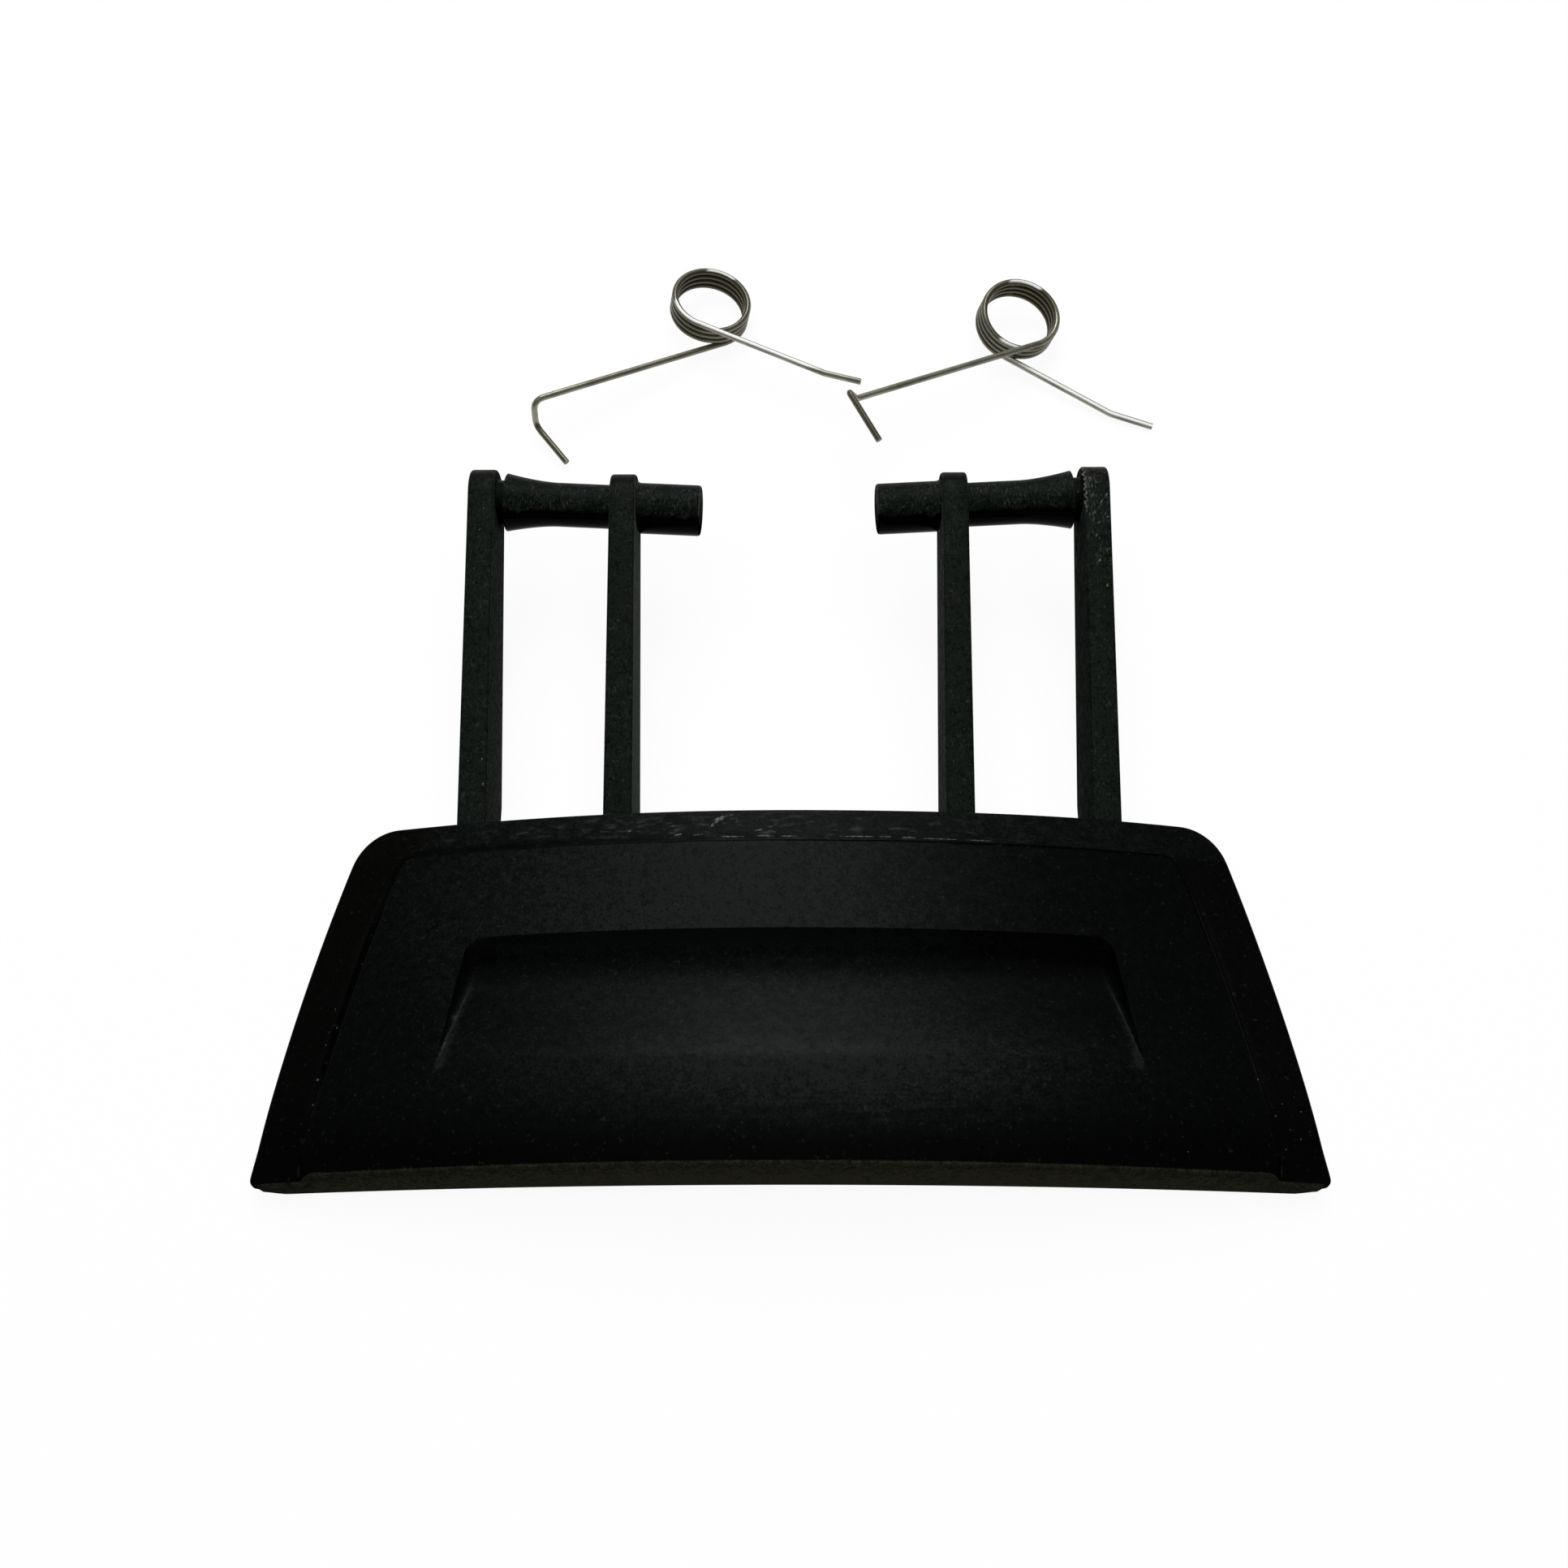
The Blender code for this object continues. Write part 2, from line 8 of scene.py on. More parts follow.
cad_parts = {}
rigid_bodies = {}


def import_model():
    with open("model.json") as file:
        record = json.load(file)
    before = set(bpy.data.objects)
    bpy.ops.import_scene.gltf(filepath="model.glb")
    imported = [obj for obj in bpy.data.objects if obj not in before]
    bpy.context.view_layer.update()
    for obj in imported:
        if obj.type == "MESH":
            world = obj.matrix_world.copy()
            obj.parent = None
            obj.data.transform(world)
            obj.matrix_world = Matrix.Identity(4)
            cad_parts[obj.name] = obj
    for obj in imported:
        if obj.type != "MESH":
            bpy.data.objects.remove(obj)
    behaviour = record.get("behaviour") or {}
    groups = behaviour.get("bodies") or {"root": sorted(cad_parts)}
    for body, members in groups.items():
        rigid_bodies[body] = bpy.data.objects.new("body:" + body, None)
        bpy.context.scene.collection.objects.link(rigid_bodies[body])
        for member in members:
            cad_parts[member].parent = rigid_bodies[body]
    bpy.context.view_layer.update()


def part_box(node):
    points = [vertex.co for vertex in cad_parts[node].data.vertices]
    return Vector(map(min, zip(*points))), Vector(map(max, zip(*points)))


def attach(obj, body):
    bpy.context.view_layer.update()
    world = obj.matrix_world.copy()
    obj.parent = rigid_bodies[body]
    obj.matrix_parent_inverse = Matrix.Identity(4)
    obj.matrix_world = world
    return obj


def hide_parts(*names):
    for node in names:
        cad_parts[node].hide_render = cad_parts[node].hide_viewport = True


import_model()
bpy.ops.object.select_all(action="DESELECT")
bpy.context.view_layer.objects.active = None


# The viewpoint: a phone held 20 cm above the table, just in front of the lip and
# tipped 25 degrees from straight down, with a wide 35 mm equivalent lens. The
# pad's front edge is at FRONT_Y, and the lip's foot stands LIP_LEAN ahead of it.
LIP_LEAN = 0.0008
FRONT_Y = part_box("handle")[0].y + LIP_LEAN
eye = bpy.data.objects.new("eye", bpy.data.cameras.new("eye"))
bpy.context.scene.collection.objects.link(eye)
tilt = Matrix.Rotation(math.radians(0.776), 4, "Z") @ Matrix.Rotation(math.radians(25.02), 4, "X")
tilt = tilt @ Matrix.Rotation(math.radians(-0.808), 4, "Z")
eye.matrix_world = Matrix.Translation((0.000527, FRONT_Y - 0.0365, 0.200)) @ tilt
eye.data.sensor_width = 36.0
eye.data.lens = 35.404
eye.data.clip_start = 0.005
bpy.context.scene.camera = eye


# The arched plate: a raised pad on a lower rim, with the finger scoop sunk in it
# and the front lip hanging from it. It is one moulding of grained black plastic.
# Two finely divided sheets, one for each side of its wall, are shaped and bridged.
DEPTH = 0.0463
CROWN = 0.01555
ARCH_RADIUS = 0.2127
RIM_DROP = 0.0008
RIM_WALL = 0.0026
PAD_WALL = 0.0023
PAD_REAR = 0.0417
SCOOP_REAR = 0.0296
SCOOP_FADE = 0.0136
SCOOP_FOOT = 0.0262
SCOOP_DEPTH = 0.0045
SCOOP_CORNER = 0.0024
SIDE_WALL_RUN = 0.00042
REAR_WALL_RUN = 0.00105
EDGE_RADIUS = 0.00030
SHELL_MARGIN = 0.0018
SCARCELY_SUNK = 0.00005
LIP_ROWS = 9


def arch_height(x):
    return CROWN - x * x / (2.0 * ARCH_RADIUS)


def side_line(y, front, rear, start, end, bulge):
    t = (y - start) / (end - start)
    return front + (rear - front) * t + 4.0 * bulge * t * (1.0 - t)


def straight_rim(y):
    return side_line(y, 0.0679, 0.0577, 0.0, DEPTH, 0.0011)


def straight_pad(y):
    return side_line(y, 0.0613, 0.0514, 0.0, PAD_REAR, 0.0009)


def scoop_side(y):
    return side_line(y, 0.0443, 0.0414, SCOOP_FADE, SCOOP_REAR, 0.0)


def rounded(y, line, start, end, front_radius, rear_radius):
    """Half width of a slanted outline whose four corners are tangent arcs."""
    half = line(y)
    for edge, way, radius in ((start, 1.0, front_radius), (end, -1.0, rear_radius)):
        slope = (line(edge + way * radius) - line(edge)) / radius
        reach = radius / math.hypot(1.0, slope)
        centre = line(edge) + slope * radius - radius * math.hypot(1.0, slope)
        inward = (y - edge) * way
        arc = centre + np.sqrt(np.maximum(radius ** 2 - (radius - inward) ** 2, 0.0))
        half = np.where(inward < radius - slope * reach, arc, half)
    return half


def rim_half(y):
    return rounded(y, straight_rim, 0.0, DEPTH, 0.0014, 0.0065)


def pad_half(y):
    return rounded(y, straight_pad, 0.0, PAD_REAR, 0.0022, 0.0022)


def inside_distance(x, y, half, start, end):
    """How far inside a left-right symmetric outline a point lies; negative outside."""
    arc = np.linspace(0.0, math.pi / 2.0, 40)
    straight = np.linspace(0.0036, end - start - 0.0076, 60)
    steps = np.concatenate([0.0035 * (1.0 - np.cos(arc)), straight])
    steps = np.concatenate([steps, end - start - 0.0075 * (1.0 - np.sin(arc))])
    line_y = start + steps
    line_x = half(line_y)
    corner_x = np.concatenate([[0.0], line_x, [0.0]])
    corner_y = np.concatenate([[start], line_y, [end]])
    nearest = np.full(x.shape, 1.0)
    for ax, ay, bx, by in zip(corner_x, corner_y, corner_x[1:], corner_y[1:]):
        run_x, run_y = bx - ax, by - ay
        run_squared = run_x ** 2 + run_y ** 2 + 1e-18
        along = np.clip(((np.abs(x) - ax) * run_x + (y - ay) * run_y) / run_squared, 0.0, 1.0)
        gap = np.hypot(np.abs(x) - ax - along * run_x, y - ay - along * run_y)
        nearest = np.minimum(nearest, gap)
    inside = (np.abs(x) <= half(np.clip(y, start, end))) & (y >= start) & (y <= end)
    return np.where(inside, nearest, -nearest)


def ease(t):
    t = np.clip(t, 0.0, 1.0)
    return t * t * (3.0 - 2.0 * t)


def scoop_depth(x, y, grow=0.0):
    """Depth of the finger scoop: a floor that slopes back to steep, softly rounded walls."""
    radius = SCOOP_CORNER + grow
    px = np.abs(x) - (scoop_side(y) + grow - radius)
    py = y - (SCOOP_REAR + grow - radius)
    in_corner = (px > 0.0) & (py > 0.0)
    reach = np.hypot(px, py)
    from_side = radius - px
    from_rear = radius - py
    edge = np.where(in_corner, radius - reach, np.minimum(from_side, from_rear))
    rearward = np.clip(py / np.maximum(reach, 1e-9), 0.0, 1.0) ** 2
    turn = np.where(in_corner, rearward, (from_rear < from_side) * 1.0)
    run = SIDE_WALL_RUN * (1.0 - turn) + REAR_WALL_RUN * turn
    inward = np.maximum(edge, 0.0)
    wall = 1.10 * (1.0 - np.exp(-((inward / (1.25 * run)) ** 1.15)))
    slope = (y - SCOOP_FADE + grow) / (SCOOP_FOOT - SCOOP_FADE)
    ramp = 0.5 * (slope + np.sqrt(slope ** 2 + 0.004))
    blend = 0.30
    mix = np.clip(0.5 + 0.5 * (wall - ramp) / blend, 0.0, 1.0)
    low = wall * (1.0 - mix) + ramp * mix - blend * mix * (1.0 - mix)
    return 0.97 * SCOOP_DEPTH * np.where(edge > 0.0, np.maximum(low, 0.0), 0.0)


def top_height(x, y):
    """The skin's height: the arch, less the step and groove round the pad, and the scoop."""
    on_pad = inside_distance(x, y, pad_half, 0.0, PAD_REAR)
    on_rim = inside_distance(x, y, rim_half, 0.0, DEPTH)
    drop = RIM_DROP * ease((0.00024 - on_pad) / 0.00050)
    front_crown = 0.00062 * np.clip(1.0 - y / 0.0115, 0.0, 1.0) ** 2
    front_crown = front_crown + 0.00030 * np.clip(1.0 - y / 0.0007, 0.0, 1.0) ** 1.5
    groove_side = np.where(x < 0.0, 1.0, 0.45)
    groove = np.exp(-((on_pad + 0.00075) / (0.00040 * (0.6 + 0.4 * groove_side))) ** 2)
    groove = groove * ease((y - 0.004) / 0.012) * ease((0.040 - y) / 0.008) * 0.0006 * groove_side
    groove = groove * (np.abs(x) > 0.045)
    near = np.clip(on_rim, 0.0, EDGE_RADIUS)
    fall = EDGE_RADIUS - np.sqrt(EDGE_RADIUS ** 2 - (EDGE_RADIUS - near) ** 2)
    fall = fall * ease((y - 0.0006) / 0.0012)
    return arch_height(x) - drop - groove - front_crown - scoop_depth(x, y) - fall


def under_height(x, y):
    """The inner face's height: a pocket under the pad, and a shell round the scoop."""
    on_pad = inside_distance(x, y, pad_half, 0.0, PAD_REAR)
    pocket = ease((on_pad - 0.0022) / 0.0006)
    wall = (RIM_DROP + RIM_WALL) * (1.0 - pocket) + PAD_WALL * pocket
    scoop = scoop_depth(x, y, SHELL_MARGIN)
    return arch_height(x) - np.where(scoop > 0.0, np.maximum(wall, PAD_WALL + scoop), wall)


def lip_foot(x):
    """The height of the lip's lower edge, which is arched too and turns up at its ends."""
    arched = np.maximum(0.00635 * (1.0 - (x / 0.0643) ** 2), 0.0)
    return arched + 0.0017 * ease((np.abs(x) - 0.0635) / 0.0032)


def bell(value, middle, low_width, high_width):
    """A soft hump with its own spread on each side of its middle."""
    gap = value - middle
    return np.exp(-((gap / np.where(gap < 0.0, low_width, high_width)) ** 2))


def plate_dust_and_light(x, y):
    """Grey bloom of handling, dust and painted reflection of the window: lightest across the
    middle, thin at the front and sides. It also paints shade under the scoop's rear wall and in the
    seam round the pad, and paints light on the scoop's walls.
    """
    across = bell(x, -0.0055 + 0.013 * ease((0.034 - y) / 0.022), 0.036, 0.024)
    along = ease((y - 0.0016) / 0.0105)
    in_scoop = scoop_depth(x, y) > SCARCELY_SUNK
    # Painted shade under the scoop's rear wall.
    shade = 0.29 + 0.42 * bell(y, SCOOP_REAR - 0.0032, 0.0024, 0.0020)
    under_wall_shadow = 1.0 - shade * in_scoop * ease((y - SCOOP_FADE) / 0.006)
    # Painted light on the scoop's side walls and the foot of its rear wall.
    rear_foot = bell(y, SCOOP_REAR - 0.0006, 0.0009, 0.0004)
    wall = rear_foot + 3.0 * bell(np.abs(x) - scoop_side(y), -0.0006, 0.0006, 0.0004)
    # Painted shade in the seam round the pad, widest on the left.
    from_pad = inside_distance(x, y, pad_half, 0.0, PAD_REAR)
    wide_seam_shadow = bell(from_pad, -0.0006, 0.0006, 0.0005)
    seam_shadow = np.where(x < 0.0, wide_seam_shadow, bell(from_pad, -0.0001, 0.0004, 0.0004))
    on_rear_rim = ease((y - 0.0416) / 0.0006)
    spread = (0.10 + 0.90 * across) * (1.0 - on_rear_rim) + (0.33 + 0.15 * across) * on_rear_rim
    return spread * along * under_wall_shadow * (1.0 + 1.6 * wall * in_scoop) * (1.0 - 0.92 * seam_shadow)


def wear_and_foot_highlight(x, y):
    """Rubbed places behind the pad and along the rear rim, and a painted highlight low on each side
    of the scoop.
    """
    line = bell(y, 0.0424, 0.00014, 0.00030) * ease((x + 0.030) / 0.014) * ease((0.040 - x) / 0.014)
    rear = bell(y, 0.0440, 0.0013, 0.0016) * bell(x, -0.004, 0.034, 0.030) * (y > 0.0421)
    beside = np.abs(x) - scoop_side(y)
    # A painted highlight at the foot of each side wall of the scoop, mostly on the left.
    foot = bell(beside, -0.0004, 0.0003, 0.0003) * bell(y, 0.0166, 0.0030, 0.0034)
    return np.maximum(np.maximum(0.30 * line, 0.50 * rear), foot * np.where(x < 0.0, 1.0, 0.18))


def warm_share(x, y):
    """The rim beside the pad is browner than the pad, most of all on the left."""
    off_pad = ease((0.0002 - inside_distance(x, y, pad_half, 0.0, PAD_REAR)) / 0.0006)
    return off_pad * ease((np.abs(x) - 0.046) / 0.006) * np.where(x < 0.0, 1.0, 0.3)


def lip_table_reflection(x):
    """Painted reflection of the table on the lip's face: brightest in the middle, none at its very
    ends.
    """
    return (0.10 + 0.90 * bell(x, 0.004, 0.120, 0.120)) * ease((0.0676 - np.abs(x)) / 0.0016)


# The sheets' columns and rows, closest together where the surface turns quickly.
# The lists are in millimetres; the other columns are shares of the way across.
beside_scoop = [-1.9, -1.4, -1.1, -0.9, -0.7, -0.5, -0.3, -0.15, 0.0, 0.2, 0.5, 1.0]
beside_pad = [-1.6, -1.0, -0.6, -0.35, -0.22, -0.12, -0.02, 0.08, 0.18, 0.28, 0.45, 0.65]
beside_pad += [0.85, 1.05, 1.3, 1.7]
beside_rim = [2.4, 1.6, 1.0, 0.6, 0.4, 0.27, 0.16, 0.08, 0.02, 0.0]
plate_columns = [("middle", step / 22.0) for step in range(22)]
plate_columns += [("scoop", offset * 0.001) for offset in beside_scoop]
plate_columns += [("between", step / 8.0) for step in range(1, 8)]
plate_columns += [("pad", offset * 0.001) for offset in beside_pad]
plate_columns += [("outer", 0.35), ("outer", 0.7)]
plate_columns += [("rim", offset * 0.001) for offset in beside_rim]


def column_x(column, y):
    """Where one column of the sheet crosses y: columns follow the scoop, pad and rim edges."""
    kind, value = column
    scoop = scoop_side(np.clip(y, 0.004, 0.036))
    pad = straight_pad(y)
    rim = straight_rim(y)
    places = {
        "middle": value * (scoop - 0.0019),
        "scoop": scoop + value,
        "between": scoop + 0.0010 + (pad - 0.0016 - scoop - 0.0010) * value,
        "pad": pad + value,
        "outer": pad + 0.0017 + (rim - 0.0024 - pad - 0.0017) * value,
        "rim": rim - value,
    }
    return places[kind] * rim_half(y) / rim


front_rows = [0.0, 0.1, 0.22, 0.36, 0.52, 0.7, 0.9, 1.2, 1.7, 2.3, 3.0]
scoop_rows = [11.0, 12.2, 13.0, 13.4, 13.8, 14.4, 15.2]
wall_rows = [22.5, 23.2, 23.6, 24.0, 24.4, 24.9, 25.5, 26.1, 26.6, 26.9, 27.1, 27.3, 27.5]
wall_rows += [27.7, 27.9, 28.1, 28.4, 28.7, 29.0, 29.2, 29.4, 29.6, 29.8, 30.2, 31.0]
step_rows = [39.2, 39.8, 40.3, 40.7, 41.0, 41.25, 41.4, 41.5, 41.6, 41.7, 41.8, 41.9, 42.0]
step_rows += [42.2, 42.6, 43.1]
rear_rows = [43.7, 44.3, 44.8, 45.2, 45.55, 45.8, 45.96, 46.08, 46.17, 46.24, 46.28, 46.3]
plate_rows = front_rows + list(np.linspace(4.2, 9.8, 5)) + scoop_rows
plate_rows += list(np.linspace(16.4, 21.6, 5)) + wall_rows
plate_rows += list(np.linspace(32.0, 38.4, 7)) + step_rows + rear_rows
plate_rows = np.array(plate_rows) * 0.001
column_count = 2 * len(plate_columns) - 1
row_count = LIP_ROWS + len(plate_rows)


def shape_sheet(name, surface_height, lip_shift):
    """One face of the plate's wall: a grid whose first rows climb the lip."""
    bpy.ops.mesh.primitive_grid_add(
        x_subdivisions=column_count - 1, y_subdivisions=row_count - 1, size=2.0
    )
    sheet = bpy.context.object
    sheet.name = name
    spots = np.array([vertex.co for vertex in sheet.data.vertices])
    across = np.rint((spots[:, 0] + 1.0) / 2.0 * (column_count - 1)).astype(int)
    along = np.rint((spots[:, 1] + 1.0) / 2.0 * (row_count - 1)).astype(int)
    y = plate_rows[np.maximum(along - LIP_ROWS, 0)]
    side = across - (len(plate_columns) - 1)
    x = np.zeros(len(y))
    for number, column in enumerate(plate_columns):
        here = np.abs(side) == number
        x[here] = np.sign(side[here]) * column_x(column, y[here])
    z = surface_height(x, y)
    y = y + 0.00032 * ease((x - 0.004) / 0.04) * ease((y - 0.024) / 0.020)
    climb = along / LIP_ROWS
    on_lip = along < LIP_ROWS
    foot = lip_foot(x)
    z = np.where(on_lip, foot + (z - foot) * climb, z)
    plate_y = np.where(on_lip, 0.0, y)
    forward = LIP_LEAN * ease((np.abs(x) - 0.0588) / 0.0020)
    on_lip_y = lip_shift - LIP_LEAN + (LIP_LEAN - forward) * climb
    on_plate_y = np.maximum(y, lip_shift) - forward * ease((0.006 - y) / 0.006)
    y = np.where(on_lip, on_lip_y, on_plate_y)
    x = x * (1.0 + 0.004 * ease((0.005 - y) / 0.006))
    placed = np.stack([x, FRONT_Y + y, z], axis=1)
    sheet.data.vertices.foreach_set("co", placed.ravel())
    front_face = on_lip | (plate_y < 0.0006)
    # The lip's face carries painted reflection of the table, brighter towards its foot.
    front_reflection = lip_table_reflection(x) * (0.62 + 0.70 * (1.0 - climb) * on_lip)
    dust_and_painted_light = np.where(front_face, front_reflection, plate_dust_and_light(x, plate_y))
    unrubbed = bell(plate_y, SCOOP_REAR - 0.0036, 0.0026, 0.0040)
    unrubbed = unrubbed * (scoop_depth(x, plate_y) > SCARCELY_SUNK)
    streaked = bell(plate_y, 0.0062, 0.0028, 0.0026) * bell(x, 0.006, 0.034, 0.032)
    # The film share is dust with painted light in it.
    for label, amount in (
        ("dust_and_painted_light", dust_and_painted_light),
        ("wear_and_highlight", np.where(front_face, 0.0, wear_and_foot_highlight(x, plate_y))),
        ("warm", np.where(front_face, 1.0, warm_share(x, plate_y))),
        ("matte", np.where(front_face, 0.0, unrubbed)),
        ("streaked", np.where(front_face, 0.0, streaked)),
    ):
        sheet.data.attributes.new(label, "FLOAT", "POINT").data.foreach_set("value", amount)
    sheet.data.update()
    return sheet


outer_face = shape_sheet("plate", top_height, 0.0)
inner_face = shape_sheet("plate_inside", under_height, 0.0020)
bpy.ops.object.mode_set(mode="EDIT")
bpy.ops.mesh.select_all(action="SELECT")
bpy.ops.mesh.flip_normals()
bpy.ops.object.mode_set(mode="OBJECT")
outer_face.select_set(True)
inner_face.select_set(True)
bpy.context.view_layer.objects.active = outer_face
bpy.ops.object.join()
plate = bpy.context.object
bpy.ops.object.mode_set(mode="EDIT")
bpy.ops.mesh.select_mode(type="EDGE")
bpy.ops.mesh.select_all(action="DESELECT")
bpy.ops.mesh.select_non_manifold(
    extend=False, use_wire=False, use_multi_face=False, use_non_contiguous=False
)
bpy.ops.mesh.bridge_edge_loops()
bpy.ops.mesh.select_all(action="SELECT")
bpy.ops.mesh.normals_make_consistent(inside=False)
bpy.ops.object.mode_set(mode="OBJECT")
bpy.ops.object.shade_smooth_by_angle(angle=math.radians(50.0))
bpy.ops.object.select_all(action="DESELECT")


def break_edges(piece, width, segments, smooth_degrees):
    """Bevel the active piece's sharp edges, as a mould leaves them, and shade it smooth."""
    soften = piece.modifiers.new("broken edges", "BEVEL")
    soften.width = width
    soften.segments = segments
    soften.limit_method = "ANGLE"
    soften.angle_limit = math.radians(40.0)
    bpy.ops.object.modifier_apply(modifier=soften.name)
    bpy.ops.object.shade_smooth_by_angle(angle=math.radians(smooth_degrees))


# The stiffening wall under the plate's rear rim, the same moulding: a bar that
# follows the arch between the two outer arms, with broken edges.
bpy.ops.mesh.primitive_cube_add(size=1.0, location=(0.0, FRONT_Y + DEPTH - 0.00115, 0.0))
rear_wall = bpy.context.object
rear_wall.name = "rear_wall"
rear_wall.scale = (0.0856, 0.0018, 0.0045)
bpy.ops.object.transform_apply(location=True, rotation=False, scale=True)
bpy.ops.object.mode_set(mode="EDIT")
for cut in np.linspace(-0.040, 0.040, 33):
    bpy.ops.mesh.select_all(action="SELECT")
    bpy.ops.mesh.bisect(plane_co=(cut, 0.0, 0.0), plane_no=(1.0, 0.0, 0.0))
bpy.ops.object.mode_set(mode="OBJECT")
for vertex in rear_wall.data.vertices:
    vertex.co.z += arch_height(vertex.co.x) - RIM_DROP - RIM_WALL - 0.00095
break_edges(rear_wall, 0.0003, 2, 35.0)
bpy.ops.object.select_all(action="DESELECT")


# The four arms: ribs under the plate that rise 13 degrees behind it to round
# heads. Each is a flat side view, thickened, splayed outwards and broken at its
# edges. The heads sit HEAD_SHIFT behind the hinge line, by side.
OUTER_ARM_X = 0.0435
INNER_ARM_X = 0.0235
ARM_SPLAY = 0.00075
ARM_RISE = math.radians(13.0)
ARM_UNDER = math.radians(15.9)
HEAD_RADIUS = 0.0045
HINGE_Y = 0.0940
TOE_IN = math.radians(2.5)
HEAD_SHIFT = {-1.0: 0.0001, 1.0: 0.0003}
ARM_ROOT_TOP = arch_height(OUTER_ARM_X - ARM_SPLAY) - RIM_DROP - 0.00045
HINGE_Z = ARM_ROOT_TOP + (HINGE_Y - DEPTH) * math.tan(ARM_RISE)
HINGE_Z = HINGE_Z - HEAD_RADIUS / math.cos(ARM_RISE)
arms = []
for arm_x in (-OUTER_ARM_X, -INNER_ARM_X, INNER_ARM_X, OUTER_ARM_X):
    side = math.copysign(1.0, arm_x)
    splay = ARM_SPLAY * abs(arm_x) / OUTER_ARM_X
    head_y = HINGE_Y - (OUTER_ARM_X - abs(arm_x)) * math.tan(TOE_IN) + HEAD_SHIFT[side]
    under_plate = arch_height(abs(arm_x) - splay) - 0.0014
    view = [(0.0120, 0.0), (0.0070, 0.0050), (0.0070, under_plate), (SCOOP_FADE, under_plate)]
    view += [(SCOOP_FOOT, under_plate - SCOOP_DEPTH), (0.0284, under_plate - SCOOP_DEPTH)]
    view += [(SCOOP_REAR, under_plate), (0.0452, under_plate - RIM_DROP)]
    view += [(0.0452, ARM_ROOT_TOP - (DEPTH - 0.0452) * math.tan(ARM_RISE))]
    for swing in np.linspace(math.pi / 2.0 + ARM_RISE, ARM_UNDER - math.pi / 2.0, 25):
        round_y = head_y + HEAD_RADIUS * math.cos(swing)
        view.append((round_y, HINGE_Z + HEAD_RADIUS * math.sin(swing)))
    view.append((view[-1][0] - view[-1][1] / math.tan(ARM_UNDER), 0.0))
    bpy.ops.mesh.primitive_circle_add(vertices=len(view), radius=0.01, fill_type="NGON")
    arm = bpy.context.object
    arm.name = f"arm_{len(arms) + 1}"
    for vertex, (y, z) in zip(arm.data.vertices, view):
        vertex.co = (-0.5, y, z)
    bpy.ops.object.mode_set(mode="EDIT")
    bpy.ops.mesh.select_all(action="SELECT")
    bpy.ops.mesh.extrude_region_move(TRANSFORM_OT_translate={"value": (1.0, 0.0, 0.0)})
    cuts = [0.0125, 0.0180, 0.0240, 0.0300, 0.0370]
    for cut in cuts + list(np.linspace(DEPTH, HINGE_Y - 0.004, 17)):
        bpy.ops.mesh.select_all(action="SELECT")
        bpy.ops.mesh.bisect(plane_co=(0.0, cut, 0.0), plane_no=(0.0, 1.0, 0.0))
    bpy.ops.mesh.select_all(action="SELECT")
    bpy.ops.mesh.normals_make_consistent(inside=False)
    bpy.ops.object.mode_set(mode="OBJECT")
    for vertex in arm.data.vertices:
        reach = max(vertex.co.y - DEPTH, 0.0) / (HINGE_Y - DEPTH)
        draft = 0.00006 * (vertex.co.z - HINGE_Z) / HEAD_RADIUS
        width = 0.0039 - 0.0002 * reach - draft
        vertex.co.x = arm_x - side * splay * (1.0 - reach) + vertex.co.x * width
        vertex.co.y += FRONT_Y
    break_edges(arm, 0.00042, 3, 32.0)
    dust_and_painted_light = arm.data.attributes.new("dust_and_painted_light", "FLOAT", "POINT")
    wear_and_highlight = arm.data.attributes.new("wear_and_highlight", "FLOAT", "POINT")
    warm = arm.data.attributes.new("warm", "FLOAT", "POINT")
    # The arms' side walls carry painted light reflected from the table, most on the left inner arm;
    # the heads get less film, the inner ones least.
    side_wall_light = {-OUTER_ARM_X: 0.46, -INNER_ARM_X: 1.0, INNER_ARM_X: 0.55, OUTER_ARM_X: 0.27}
    head_share = 0.70 if abs(arm_x) == OUTER_ARM_X else 0.32
    for number, vertex in enumerate(arm.data.vertices):
        reach = max(vertex.co.y - FRONT_Y - DEPTH, 0.0) / (HINGE_Y - DEPTH)
        beside = abs(vertex.co.x - arm_x + side * splay * (1.0 - reach)) > 0.0017
        on_head = vertex.co.y > FRONT_Y + HINGE_Y + 0.0005
        side_light = side_wall_light[arm_x] if beside else 1.0
        dust_and_painted_light.data[number].value = side_light * (head_share if on_head else 1.0)
        scraped = arm_x == OUTER_ARM_X and vertex.co.y > FRONT_Y + 0.084
        wear_and_highlight.data[number].value = 0.95 if scraped else 0.14
        warm.data[number].value = 1.0 if on_head and not beside else 0.0
    bpy.ops.object.select_all(action="DESELECT")
    arms.append(arm)


# The two stepped hinge barrels between the arms, toed in 2.5 degrees: a neck, a
# flare that the spring's coil sits against, a plain barrel and a thicker stub
# past the inner arm. Each is a cylinder, cut into rings that are drawn in and out.
# Dust, scratches and painted light lie on the side that faces up and 35 degrees back,
# with a ragged border; the side below is near black and glossy.
BARREL_RADIUS = 0.00312
FLARE_RADIUS = 0.00412
STUB_RADIUS = 0.00360
COLLAR = 0.00015
STUB_CORNER = 0.0004
BARREL_TOE_IN = math.radians(3.2)
DUST_AND_LIGHT_LEAN = math.radians(35.0)
SLOW_WAVE = 2100.0
QUICK_WAVE = 4700.0
span = (OUTER_ARM_X - INNER_ARM_X) / math.cos(TOE_IN)
flare_start = 0.00315
stub_start = span + 0.00175
stub_end = span + 0.00185 + 0.0091
rings = [(0.0, BARREL_RADIUS), (0.0019, BARREL_RADIUS + 0.00008), (0.0020, BARREL_RADIUS)]
